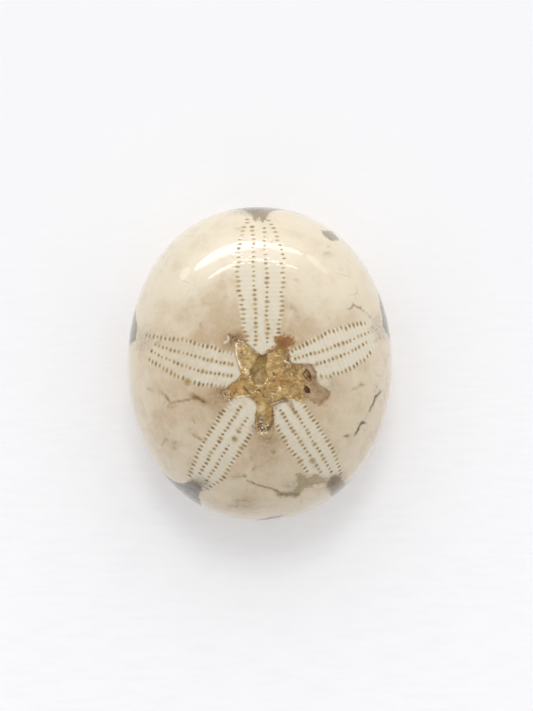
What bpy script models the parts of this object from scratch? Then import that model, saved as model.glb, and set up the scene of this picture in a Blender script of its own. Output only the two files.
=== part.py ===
"""A polished fossil sea urchin: the oval, domed test of an irregular echinoid, in one piece.

The test is one closed stone. Its dome carries five petals, each with four rows of small pore pits, round a
star-shaped scar where the shell broke away over rough calcite crystals. The oral side is ground flat, with
the mouth, the grooves that lead to it and the vent behind.

The frame: metres, +Z up, +Y to the front of the animal, the origin at the middle of the flat base.
"""

import math
from typing import NamedTuple

import bmesh
import bpy
import numpy as np
from mathutils import Matrix, Vector

MM = 0.001

# The whole test.
LENGTH = 38.0 * MM
WIDTH = 32.0 * MM
HEIGHT = 19.0 * MM
RIM_HEIGHT = 8.0 * MM  # height of the widest line
OUTLINE_POWER = 2.08  # 2 is a plain ellipse
DOME_POWER = 2.25
UNDER_POWER = 2.6
UNDER_REACH = 8.6 * MM  # how far the lower half would go without its flat base
SHOULDER_ANGLE = math.radians(125)  # the outline is fuller here
SHOULDER_SPREAD = math.radians(28)
SHOULDER_RISE = 0.012
SKIN_CUTS = 15  # cuts along each edge of the cube that the skin is drawn from
CUT_CLEARANCE = 1.0 * MM  # how far a cutter stands clear of the surface that it cuts

# Pore pits, in the inner rows round and in the outer rows slits that lie across the row.
PIT_DEPTH = 0.16 * MM
PIT_LIFT = 0.06 * MM
PIT_ROOM = 0.42 * MM  # pits nearer than this would run together
ROUND_PORE = (0.15 * MM, 0.15 * MM)  # half sizes across and along the row
SLIT_PORE = (0.27 * MM, 0.12 * MM)
PORE_PITCH = (0.48 * MM, 0.62 * MM)  # at a petal's inner end and at the rim
MISSING_PORES = 0.06

# The star-shaped scar.
SCAR_DEPTH = 0.62 * MM
SCAR_GRID = 0.50 * MM
CRYSTAL_SPACING = 0.85 * MM
CRYSTAL_RISE = 0.30 * MM
CRYSTAL_TILT = 0.55  # slope of a cleavage face
FLUSH_FROM = 5.0 * MM  # the right arm is filled nearly to the surface from here
FLUSH_DEPTH = 0.15 * MM

# The mouth, its five grooves and the vent, on the oral side.
ORAL_DROP = -0.12 * MM  # keeps the widest line of these hollows off the flat base
MOUTH_Y = 1.6 * MM
MOUTH_RADII = (2.7 * MM, 2.1 * MM, 1.1 * MM)
GROOVE_RADII = (2.6 * MM, 0.55 * MM, 0.35 * MM)
GROOVE_REACH = 3.9 * MM
GROOVE_ANGLES = (90, 18, 162, -54, -126)
VENT_Y = -13.4 * MM
VENT_RADII = (1.25 * MM, 1.7 * MM, 0.8 * MM)


class Petal(NamedTuple):
    """A petal's rows in plan: lengths in millimetres, the angle in degrees from +X."""

    name: str
    start: tuple[float, float]
    angle: float
    bow: float  # how far the middle of the midline lies to its left
    inner: tuple[float, float, float]  # half spacing of the inner rows at the start, middle and end
    outer: tuple[float, float, float]  # the same for the outer rows
    left_outer: tuple[float, float]  # where each row starts and ends along the midline
    left_inner: tuple[float, float]
    right_inner: tuple[float, float]
    right_outer: tuple[float, float]


PETALS = (
    Petal("front", (0.22, 2.15), 91.7, -0.05, (0.70, 0.73, 0.73), (1.50, 2.50, 1.75),
          (0.7, 15.1), (0.0, 14.4), (0.0, 14.4), (0.1, 14.9)),
    Petal("right", (4.07, 0.50), 21.0, -0.20, (0.62, 0.62, 0.50), (1.50, 2.20, 1.44),
          (0.1, 8.8), (0.0, 8.6), (2.4, 8.5), (2.2, 8.5)),
    Petal("left", (-3.01, -0.71), 164.0, 0.40, (0.62, 0.72, 0.42), (1.75, 2.24, 1.20),
          (2.0, 10.2), (0.1, 10.1), (0.0, 10.2), (1.3, 11.2)),
    Petal("rear_left", (-1.75, -5.41), -122.0, -0.05, (0.63, 0.67, 0.52), (1.80, 2.11, 1.35),
          (1.8, 10.5), (0.4, 10.1), (-0.4, 9.6), (1.1, 10.4)),
    Petal("rear_right", (3.00, -5.15), -57.6, 0.05, (0.67, 0.66, 0.52), (1.85, 2.09, 1.55),
          (0.8, 10.3), (0.2, 9.5), (-0.3, 9.1), (1.2, 8.0)),
)

# Three pores that broke out wider than the rest: place and radius in millimetres.
BLOWN_PORES = ((-8.43, -2.05, 0.42), (-2.93, -8.72, 0.36), (6.19, -11.32, 0.34))

# The scar's outline in millimetres, from the left tip of its front arm, clockwise.
SCAR_OUTLINE = (
    (-2.8, 2.7), (-2.1, 2.9), (-1.3, 2.2), (-0.2, 1.1), (1.4, 1.6), (2.8, 1.8), (3.4, 1.0), (3.7, 0.0),
    (6.1, 0.0), (6.6, -0.9), (6.8, -2.2), (8.2, -3.5), (7.6, -4.2), (7.0, -4.9), (5.5, -4.0), (3.7, -4.1),
    (1.8, -4.6), (1.4, -5.4), (1.7, -6.2), (1.6, -7.0), (1.0, -7.9), (0.3, -8.2), (-0.4, -7.6),
    (-0.5, -5.9), (-0.4, -4.3), (-1.2, -3.7), (-2.7, -3.8), (-3.6, -4.4), (-4.5, -3.3), (-3.4, -2.5),
    (-2.6, -1.5), (-2.3, -0.5), (-3.0, 0.8),
)

# Deeper hollows in the scar: x, y, radius in x, radius in y and depth, in millimetres.
SCAR_HOLLOWS = ((-0.04, -1.20, 1.00, 1.25, 1.20), (5.48, -1.20, 0.45, 0.75, 0.60), (5.53, -2.95, 0.45, 0.45, 0.60))


def linear(red, green, blue):
    """An 8-bit colour as a linear RGBA value."""
    return (*(((c / 255 + 0.055) / 1.055) ** 2.4 for c in (red, green, blue)), 1.0)


def material(name, colour, roughness):
    made = bpy.data.materials.new(name)
    made.use_nodes = True
    shader = made.node_tree.nodes["Principled BSDF"]
    shader.inputs["Base Color"].default_value = colour
    shader.inputs["Roughness"].default_value = roughness
    shader.inputs["Metallic"].default_value = 0.0
    made.diffuse_color = colour
    return made


def new_object(name, mesh_maker, finish):
    """An object whose mesh the maker fills in."""
    mesh = bpy.data.meshes.new(name)
    shape = bmesh.new()
    mesh_maker(shape)
    shape.to_mesh(mesh)
    shape.free()
    mesh.materials.append(finish)
    made = bpy.data.objects.new(name, mesh)
    bpy.context.scene.collection.objects.link(made)
    return made


def cutter(name, mesh_maker, finish):
    made = new_object(name, mesh_maker, finish)
    made.hide_render = True
    made.display_type = "WIRE"
    return made


def cut(target, tool, operation="DIFFERENCE"):
    boolean = target.modifiers.new(tool.name, "BOOLEAN")
    boolean.operation = operation
    boolean.solver = "EXACT"
    boolean.material_mode = "TRANSFER"
    boolean.object = tool


# ---- the form of the test ----


def shoulder(x, y):
    """How much further out than the plain oval the outline runs in this direction."""
    turn = (math.atan2(y, x) - SHOULDER_ANGLE + math.pi) % (2 * math.pi) - math.pi
    return 1 + SHOULDER_RISE * math.exp(-((turn / SHOULDER_SPREAD) ** 2))


def plan_share(x, y):
    """0 over the middle and 1 on the outline."""
    across = abs(x) / (WIDTH / 2)
    along = abs(y) / (LENGTH / 2)
    return (across**OUTLINE_POWER + along**OUTLINE_POWER) ** (1 / OUTLINE_POWER) / shoulder(x, y)


def dome_height(x, y):
    share = min(1.0, plan_share(x, y))
    return RIM_HEIGHT + (HEIGHT - RIM_HEIGHT) * (1 - share**DOME_POWER) ** (1 / DOME_POWER)


def under_height(x, y):
    share = min(1.0, plan_share(x, y))
    return RIM_HEIGHT - UNDER_REACH * (1 - share**UNDER_POWER) ** (1 / UNDER_POWER)


def surface_frame(height, x, y, side):
    """A matrix at a point of a surface z = height(x, y): Z out of the stone on the given side."""
    step = 0.05 * MM
    slope_x = (height(x + step, y) - height(x - step, y)) / (2 * step)
    slope_y = (height(x, y + step) - height(x, y - step)) / (2 * step)
    out = Vector((-slope_x, -slope_y, 1)).normalized() * side
    along = Vector((0, 1, 0)).cross(out).normalized()
    turn = Matrix((along, out.cross(along), out)).transposed().to_4x4()
    return Matrix.Translation((x, y, height(x, y))) @ turn


def make_test(shape):
    """The smooth oval form, drawn from a cut cube so that it has no poles, and cut off flat at its base."""
    bmesh.ops.create_cube(shape, size=2)
    bmesh.ops.subdivide_edges(shape, edges=shape.edges[:], cuts=SKIN_CUTS, use_grid_fill=True)
    for vert in shape.verts:
        even = Vector(math.tan(side * math.pi / 4) for side in vert.co)
        x = even.x * WIDTH / 2
        y = even.y * LENGTH / 2
        above = even.z >= 0
        power = DOME_POWER if above else UNDER_POWER
        reach = HEIGHT - RIM_HEIGHT if above else UNDER_REACH
        scale = (plan_share(x, y) ** power + abs(even.z) ** power) ** (-1 / power)
        vert.co = (x * scale, y * scale, RIM_HEIGHT + even.z * scale * reach)
    whole = shape.verts[:] + shape.edges[:] + shape.faces[:]
    bmesh.ops.bisect_plane(shape, geom=whole, plane_co=(0, 0, 0), plane_no=(0, 0, -1), clear_outer=True)
    rim = [edge for edge in shape.edges if edge.is_boundary]
    bmesh.ops.contextual_create(shape, geom=rim)
    bmesh.ops.triangulate(shape, faces=shape.faces[:])
    bmesh.ops.recalc_face_normals(shape, faces=shape.faces[:])


# ---- the pores of the petals ----


def through(values, share):
    """A smooth curve through three values, at a share of the way from the first to the last."""
    first, middle, last = values
    bend = middle - (first + last) / 2
    return first + (last - first) * share + bend * 4 * share * (1 - share)


def row_point(petal, along, side, spacing):
    """The plan position, in metres, of a row's point, and the petal's direction there."""
    length = max(petal.left_inner[1], petal.right_inner[1])
    share = along / length
    offset = petal.bow * 4 * share * (1 - share) + side * through(spacing, share)
    turn = math.radians(petal.angle)
    x = petal.start[0] + along * math.cos(turn) - offset * math.sin(turn)
    y = petal.start[1] + along * math.sin(turn) + offset * math.cos(turn)
    return x * MM, y * MM, turn


def row_places(petal, side, spacing, span):
    """Points along one row, spaced evenly over the curved surface."""
    along = span[0]
    while along <= span[1]:
        x, y, turn = row_point(petal, along, side, spacing)
        yield x, y, turn
        ahead = row_point(petal, along + 0.1, side, spacing)
        climb = (dome_height(ahead[0], ahead[1]) - dome_height(x, y)) / (0.1 * MM)
        pitch = PORE_PITCH[0] + (PORE_PITCH[1] - PORE_PITCH[0]) * plan_share(x, y)
        along += pitch / MM / math.hypot(1, climb)


def add_pit(shape, x, y, turn, half_across, half_along):
    """A small cone, point down, that crosses the surface with the given half sizes."""
    wider = (PIT_DEPTH + PIT_LIFT) / PIT_DEPTH
    place = surface_frame(dome_height, x, y, 1) @ Matrix.Rotation(turn, 4, "Z")
    size = Matrix.Diagonal((half_along * wider, half_across * wider, 1, 1))
    lift = Matrix.Translation((0, 0, (PIT_LIFT - PIT_DEPTH) / 2))
    bmesh.ops.create_cone(
        shape,
        cap_ends=True,
        segments=4,
        radius1=0,
        radius2=1,
        depth=PIT_DEPTH + PIT_LIFT,
        matrix=place @ lift @ size,
    )


def inside_scar(x, y):
    """Whether a plan position lies in the star, by counting the outline's crossings."""
    inside = False
    corners = [(a * MM, b * MM) for a, b in SCAR_OUTLINE]
    for (ax, ay), (bx, by) in zip(corners, corners[1:] + corners[:1]):
        if (ay > y) != (by > y) and x < ax + (bx - ax) * (y - ay) / (by - ay):
            inside = not inside
    return inside


def near_scar(x, y):
    reach = 0.3 * MM
    return any(inside_scar(x + dx * reach, y + dy * reach) for dx in (-1, 0, 1) for dy in (-1, 0, 1))


def make_pores(shape):
    chance = np.random.default_rng(7)
    placed = []
    for x, y, radius in BLOWN_PORES:
        add_pit(shape, x * MM, y * MM, 0, radius * MM, radius * MM)
        placed.append((x * MM, y * MM, radius * MM + PIT_ROOM))
    for petal in PETALS:
        rows = (
            (1, petal.outer, petal.left_outer, SLIT_PORE),
            (1, petal.inner, petal.left_inner, ROUND_PORE),
            (-1, petal.inner, petal.right_inner, ROUND_PORE),
            (-1, petal.outer, petal.right_outer, SLIT_PORE),
        )
        for side, spacing, span, (half_across, half_along) in rows:
            for x, y, turn in row_places(petal, side, spacing, span):
                missing = chance.random() < MISSING_PORES
                crowded = any(math.hypot(x - px, y - py) < room for px, py, room in placed)
                if not missing and not crowded and not near_scar(x, y):
                    add_pit(shape, x, y, turn, half_across, half_along)
                    placed.append((x, y, 0.3 * MM))


# ---- the scar at the apex ----


class Crystals:
    """Broken cleavage faces: every point belongs to the nearest crystal, which is one tilted plane."""

    def __init__(self):
        chance = np.random.default_rng(11)
        reach = 9 * MM
        ticks = np.arange(-reach, reach, CRYSTAL_SPACING)
        grid = np.array([(x, y) for x in ticks for y in ticks])
        self.centres = grid + chance.uniform(-0.4, 0.4, grid.shape) * CRYSTAL_SPACING
        self.tilts = chance.uniform(-CRYSTAL_TILT, CRYSTAL_TILT, grid.shape)
        self.rises = chance.uniform(-0.5, 0.5, len(grid)) * CRYSTAL_RISE

    def rise(self, x, y):
        offsets = (x, y) - self.centres
        nearest = int((offsets**2).sum(axis=1).argmin())
        return float(self.rises[nearest] + offsets[nearest] @ self.tilts[nearest])


def hollow_depth(x, y):
    deepest = 0.0
    for centre_x, centre_y, radius_x, radius_y, depth in SCAR_HOLLOWS:
        away = math.hypot((x / MM - centre_x) / radius_x, (y / MM - centre_y) / radius_y)
        deepest = max(deepest, depth * MM * min(1.0, max(0.0, 1.3 - away) * 2))
    return deepest


def make_scar_floor(shape):
    """A block that fills the star down to its rough floor: a faceted grid, drawn up to a flat top."""
    crystals = Crystals()
    half = 8.6 * MM
    cells = round(2 * half / SCAR_GRID)
    made = bmesh.ops.create_grid(shape, x_segments=cells, y_segments=cells, size=half)
    for vert in made["verts"]:
        x, y = vert.co.x, vert.co.y
        flush = x > FLUSH_FROM
        depth = FLUSH_DEPTH if flush else SCAR_DEPTH - crystals.rise(x, y)
        vert.co.z = dome_height(x, y) - depth - hollow_depth(x, y)
    bmesh.ops.triangulate(shape, faces=shape.faces[:])
    lifted = bmesh.ops.extrude_face_region(shape, geom=shape.faces[:])["geom"]
    for vert in (item for item in lifted if isinstance(item, bmesh.types.BMVert)):
        vert.co.z = HEIGHT + CUT_CLEARANCE
    bmesh.ops.recalc_face_normals(shape, faces=shape.faces[:])


def make_scar_star(shape):
    """The star's outline as a tall prism."""
    low = RIM_HEIGHT
    corners = [shape.verts.new((x * MM, y * MM, low)) for x, y in SCAR_OUTLINE]
    star = shape.faces.new(corners)
    lifted = bmesh.ops.extrude_face_region(shape, geom=[star])["geom"]
    rise = Vector((0, 0, HEIGHT + 2 * CUT_CLEARANCE - low))
    bmesh.ops.translate(shape, verts=[v for v in lifted if isinstance(v, bmesh.types.BMVert)], vec=rise)
    bmesh.ops.recalc_face_normals(shape, faces=shape.faces[:])


# ---- the oral side ----


def add_hollow(shape, place, radii):
    bmesh.ops.create_icosphere(
        shape, subdivisions=2, radius=1, matrix=place @ Matrix.Diagonal((*radii, 1))
    )


def mouth(shape):
    add_hollow(shape, Matrix.Translation((0, MOUTH_Y, ORAL_DROP)), MOUTH_RADII)


def vent(shape):
    add_hollow(shape, surface_frame(under_height, 0, VENT_Y, -1), VENT_RADII)


def groove(angle):
    """A maker for one of the shallow grooves that run to the mouth."""
    turn = Matrix.Rotation(math.radians(angle), 4, "Z")
    place = Matrix.Translation((0, MOUTH_Y, ORAL_DROP)) @ turn @ Matrix.Translation((GROOVE_REACH, 0, 0))

    def make(shape):
        add_hollow(shape, place, GROOVE_RADII)

    return make


def main():
    for old in list(bpy.data.objects):
        bpy.data.objects.remove(old)
    stone = material("polished_test", linear(226, 209, 184), 0.18)
    pore = material("pore_fill", linear(158, 128, 92), 0.4)
    calcite = material("honey_calcite", linear(176, 142, 92), 0.35)
    matrix_fill = material("matrix_fill", linear(150, 138, 118), 0.6)

    urchin = new_object("sea_urchin", make_test, stone)
    for other in (pore, calcite, matrix_fill):
        urchin.data.materials.append(other)

    floor = cutter("scar_floor", make_scar_floor, calcite)
    cut(floor, cutter("scar_star", make_scar_star, calcite), "INTERSECT")
    cut(urchin, floor)
    cut(urchin, cutter("pores", make_pores, pore))
    cut(urchin, cutter("mouth", mouth, matrix_fill))
    for number, angle in enumerate(GROOVE_ANGLES):
        cut(urchin, cutter(f"groove_{number}", groove(angle), stone))
    cut(urchin, cutter("vent", vent, matrix_fill))


main()
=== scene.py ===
"""The looks of a polished fossil sea urchin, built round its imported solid.

Shapes are worked out in millimetres, with +Y to the animal's front and +Z up, and turned into metres when a
mesh is finished. `Form` is the smooth outside. `Petal`, `Scar`, `Thread`, `Blot`, `Patch` and `RimPatch` each
know where they lie on it, and `PolishedTest`, `CalciteCrust` and `Glints` build the pieces.
"""

import logging
import math
from dataclasses import dataclass, field
from enum import Enum
from typing import Iterable, Sequence

import bmesh
import bpy
import numpy as np
from mathutils import Matrix, Vector


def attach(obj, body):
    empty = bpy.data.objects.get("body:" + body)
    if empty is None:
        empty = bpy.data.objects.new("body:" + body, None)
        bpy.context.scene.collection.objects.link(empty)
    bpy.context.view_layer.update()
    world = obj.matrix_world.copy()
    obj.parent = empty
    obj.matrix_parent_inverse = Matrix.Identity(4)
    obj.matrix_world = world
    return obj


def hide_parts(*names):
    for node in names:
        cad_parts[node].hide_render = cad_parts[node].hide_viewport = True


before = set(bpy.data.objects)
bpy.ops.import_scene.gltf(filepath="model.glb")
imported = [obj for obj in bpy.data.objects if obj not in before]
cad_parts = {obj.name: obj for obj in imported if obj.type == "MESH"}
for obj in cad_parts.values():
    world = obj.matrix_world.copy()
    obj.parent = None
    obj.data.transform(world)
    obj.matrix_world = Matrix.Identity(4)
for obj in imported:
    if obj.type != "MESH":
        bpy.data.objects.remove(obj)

LOG = logging.getLogger("sea_urchin")
MM = 0.001
NODE = "sea_urchin"
FAR = 9.0  # a distance that stands for "nowhere near", in millimetres

Array = np.ndarray
Point = tuple[float, float]
Colour = tuple[int, int, int]


# ---------------------------------------------------------------------------------------------------------
# Plain geometry
# ---------------------------------------------------------------------------------------------------------


def smooth(low: float, high: float, value: Array) -> Array:
    """A smooth step.

    Args:
        low: where the step starts.
        high: where it ends; below `low` the step runs down.
        value: the values to step.

    Returns:
        0 before the start, 1 past the end.
    """
    share = np.clip((value - low) / (high - low), 0.0, 1.0)
    return share * share * (3 - 2 * share)


def outline_distance(points: Array, outline: Sequence[Point]) -> Array:
    """Distance to a closed outline.

    Args:
        points: (N, 2) places in the outline's plane.
        outline: its corners in order.

    Returns:
        One distance for each point, negative inside.
    """
    corners = np.array(outline, float)
    nearest = np.full(len(points), np.inf)
    inside = np.zeros(len(points), bool)
    for start, end in zip(corners, np.roll(corners, -1, axis=0)):
        run = end - start
        offset = points - start
        share = np.clip(offset @ run / (run @ run), 0, 1)
        nearest = np.minimum(nearest, np.hypot(*(offset - share[:, None] * run).T))
        crosses = (start[1] > points[:, 1]) != (end[1] > points[:, 1])
        with np.errstate(divide="ignore", invalid="ignore"):
            level = start[0] + run[0] * (points[:, 1] - start[1]) / run[1]
        inside ^= crosses & (points[:, 0] < level)
    return np.where(inside, -nearest, nearest)


@dataclass(frozen=True)
class Clouds:
    """Smooth seeded noise between -1 and 1, with one random value at each corner of a cubic lattice."""

    pitch: float
    seed: int = 1

    def at(self, points: Array) -> Array:
        """The noise at (N, 3) points, in the unit of the pitch."""
        chance = np.random.default_rng(self.seed)
        shuffle = chance.permutation(256)
        values = chance.uniform(-1, 1, 256)
        scaled = points / self.pitch
        corner = np.floor(scaled).astype(np.int64)
        share = scaled - corner
        share = share * share * (3 - 2 * share)
        total = np.zeros(len(points))
        for step in np.ndindex(2, 2, 2):
            weight = np.prod(np.where(step, share, 1 - share), axis=1)
            x, y, z = (corner + step).T & 255
            total += weight * values[shuffle[(shuffle[(shuffle[x] + y) & 255] + z) & 255]]
        return total


@dataclass(frozen=True)
class Facets:
    """Broken cleavage faces: each place belongs to the nearest crystal, which is one tilted plane."""

    spacing: float
    rise: float
    tilt: float
    seed: int

    def at(self, plan: Array) -> tuple[Array, Array, Array]:
        """The crystals over (N, 2) places in plan.

        Returns:
            The height of the faces, the nearness of a gap between two crystals in millimetres, and a random
            tone between -1 and 1 for each crystal.
        """
        chance = np.random.default_rng(self.seed)
        ticks = np.arange(-10, 10, self.spacing)
        grid = np.array([(x, y) for x in ticks for y in ticks])
        centres = grid + chance.uniform(-0.48, 0.48, grid.shape) * self.spacing
        tilts = chance.uniform(-self.tilt, self.tilt, grid.shape)
        rises = chance.uniform(-self.rise, self.rise, len(grid))
        tones = chance.uniform(-1, 1, len(grid))
        height, gap, tone = np.empty((3, len(plan)))
        for part in np.array_split(np.arange(len(plan)), max(1, len(plan) // 4000)):
            offsets = plan[part, None, :] - centres[None]
            away = np.hypot(offsets[..., 0], offsets[..., 1])
            order = np.argpartition(away, 1, axis=1)
            first, second = order[:, 0], order[:, 1]
            rows = np.arange(len(part))
            height[part] = rises[first] + (offsets[rows, first] * tilts[first]).sum(axis=1)
            gap[part] = away[rows, second] - away[rows, first]
            tone[part] = tones[first]
        return height, gap, tone


@dataclass(frozen=True)
class Form:
    """The smooth outside: an oval dome over a rounded lower half with a flat base."""

    width: float = 32.0
    length: float = 38.0
    height: float = 19.0
    rim: float = 8.0
    outline_power: float = 2.08
    dome_power: float = 2.25
    under_power: float = 2.6
    under_reach: float = 8.6
    shoulder_at: float = math.radians(125)
    shoulder_spread: float = math.radians(28)
    shoulder_rise: float = 0.012
    base_softness: float = 0.05

    def share(self, plan: Array) -> Array:
        """0 over the middle and 1 on the outline, for (N, 2) places."""
        across = np.abs(plan[:, 0]) / (self.width / 2)
        along = np.abs(plan[:, 1]) / (self.length / 2)
        oval = (across**self.outline_power + along**self.outline_power) ** (1 / self.outline_power)
        turn = np.arctan2(plan[:, 1], plan[:, 0]) - self.shoulder_at
        turn = (turn + math.pi) % (2 * math.pi) - math.pi
        return oval / (1 + self.shoulder_rise * np.exp(-((turn / self.shoulder_spread) ** 2)))

    def dome(self, plan: Array) -> Array:
        """Height of the dome over (N, 2) places."""
        share = np.minimum(self.share(plan), 1.0)
        reach = self.height - self.rim
        return self.rim + reach * (1 - share**self.dome_power) ** (1 / self.dome_power)

    def on_dome(self, plan: Iterable[Point]) -> Array:
        """Places in plan lifted onto the dome, as (N, 3) points."""
        flat = np.atleast_2d(np.array(list(plan), float))
        return np.column_stack((flat, self.dome(flat)))

    def wrap(self, cube: Array) -> Array:
        """The place on the form of each point of the cube from -1 to 1."""
        even = np.tan(cube * (math.pi / 4))
        flat = even[:, :2] * (self.width / 2, self.length / 2)
        above = even[:, 2] >= 0
        power = np.where(above, self.dome_power, self.under_power)
        reach = np.where(above, self.height - self.rim, self.under_reach)
        scale = (self.share(flat) ** power + np.abs(even[:, 2]) ** power) ** (-1 / power)
        level = self.rim + even[:, 2] * scale * reach
        level = self.base_softness * np.logaddexp(0, level / self.base_softness)
        return np.column_stack((flat * scale[:, None], level))

    def outward(self, points: Array) -> Array:
        """Unit normals of the form at (N, 3) points on it."""
        step = 0.01
        slopes = [
            self._depth(points + offset) - self._depth(points - offset)
            for offset in np.eye(3) * step
        ]
        normal = np.column_stack(slopes)
        return normal / np.linalg.norm(normal, axis=1, keepdims=True)

    def _depth(self, points: Array) -> Array:
        """A measure that is 1 on the form and larger outside."""
        rise = points[:, 2] - self.rim
        power = np.where(rise >= 0, self.dome_power, self.under_power)
        reach = np.where(rise >= 0, self.height - self.rim, self.under_reach)
        return (self.share(points[:, :2]) ** power + np.abs(rise / reach) ** power) ** (1 / power)


FORM = Form()


# ---------------------------------------------------------------------------------------------------------
# Marks in the stone
# ---------------------------------------------------------------------------------------------------------


class Tint(Enum):
    """The colours that a mark can have; each is an attribute of its own."""

    DARK = "dark_mark"
    SEPIA = "sepia_mark"
    BROWN = "brown_mark"
    GRAY = "gray_mark"
    PALE = "pale_mark"
    AMBER = "amber_mark"
    OLIVE = "olive_mark"
    SPECK = "speck_mark"


@dataclass(frozen=True)
class Thread:
    """A thin line on the dome: points in plan, its width, its strength in the middle, and its tint."""

    points: tuple[Point, ...]
    width: float
    strength: float = 0.6
    tint: Tint = Tint.DARK
    blunt: bool = False

    def shape(self, points: Array) -> Array:
        """The line's strength at (N, 3) points on the form, fading towards its ends."""
        path = FORM.on_dome(self.points)
        lengths = np.linalg.norm(np.diff(path, axis=0), axis=1)
        starts = np.concatenate(([0], np.cumsum(lengths)))
        best = np.full(len(points), np.inf)
        gone = np.zeros(len(points))
        for start, end, run_from, length in zip(path, path[1:], starts, lengths):
            offset = points - start
            run = end - start
            share = np.clip(offset @ run / (run @ run), 0, 1)
            away = np.linalg.norm(offset - share[:, None] * run, axis=1)
            closer = away < best
            best = np.where(closer, away, best)
            gone = np.where(closer, (run_from + share * length) / starts[-1], gone)
        taper = np.ones(len(points)) if self.blunt else np.sqrt(np.clip(4 * gone * (1 - gone), 0, 1))
        half = self.width / 2 * (0.45 + 0.55 * taper)
        return self.strength * (0.35 + 0.65 * taper) * np.exp(-((best / half) ** 2) * 0.9)


@dataclass(frozen=True)
class Blot:
    """A soft-edged spot or cloud: its middle in plan, its radii, its turn in degrees and its strength."""

    middle: Point
    radii: Point
    turn: float = 0.0
    strength: float = 1.0
    tint: Tint = Tint.BROWN
    power: float = 2.0

    def shape(self, points: Array) -> Array:
        """The spot's strength at (N, 3) points on the form."""
        turn = math.radians(self.turn)
        offset = points[:, :2] - self.middle
        along = offset @ (math.cos(turn), math.sin(turn)) / self.radii[0]
        across = offset @ (-math.sin(turn), math.cos(turn)) / self.radii[1]
        above = smooth(FORM.rim - 2, FORM.rim, points[:, 2])
        return self.strength * np.exp(-(np.hypot(along, across) ** self.power)) * above


@dataclass(frozen=True)
class Patch:
    """An area with an outline in plan, with a strength and how softly it ends."""

    outline: tuple[Point, ...]
    strength: float
    tint: Tint
    softness: float = 0.12

    def shape(self, points: Array) -> Array:
        """The area's strength at (N, 3) points on the form."""
        away = outline_distance(points[:, :2], self.outline)
        above = smooth(FORM.rim - 2, FORM.rim, points[:, 2])
        return self.strength * smooth(self.softness, -self.softness, away) * above


Mark = Thread | Blot | Patch


def blended(marks: Sequence[Mark], points: Array, stray: float = 0.07) -> dict[str, Array]:
    """The strength of each tint at (N, 3) points, by attribute name, with each mark's outline straying."""
    left = {tint.value: np.ones(len(points)) for tint in Tint}
    strayed = points + stray * np.column_stack([Clouds(0.32, seed).at(points) for seed in (41, 42, 43)])
    for mark in marks:
        left[mark.tint.value] *= 1 - np.clip(mark.shape(strayed), 0, 1)
    return {name: 1 - rest for name, rest in left.items()}


@dataclass(frozen=True)
class RimPatch:
    """Matrix laid bare round the rim: an outline of (distance round the rim, height) from an azimuth."""

    azimuth: float
    outline: tuple[Point, ...]

    def distance(self, points: Array) -> Array:
        """Distance to the patch at (N, 3) points, negative inside."""
        turn = np.degrees(np.arctan2(points[:, 1], points[:, 0])) - self.azimuth
        turn = (turn + 180) % 360 - 180
        radius = np.hypot(points[:, 0], points[:, 1])
        unrolled = np.column_stack((np.radians(turn) * radius, points[:, 2]))
        ragged = 0.55 * Clouds(1.9, 51).at(points) + 0.35 * Clouds(0.8, 52).at(points)
        return outline_distance(unrolled, self.outline) + ragged * smooth(10.6, 8.6, points[:, 2])


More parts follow.
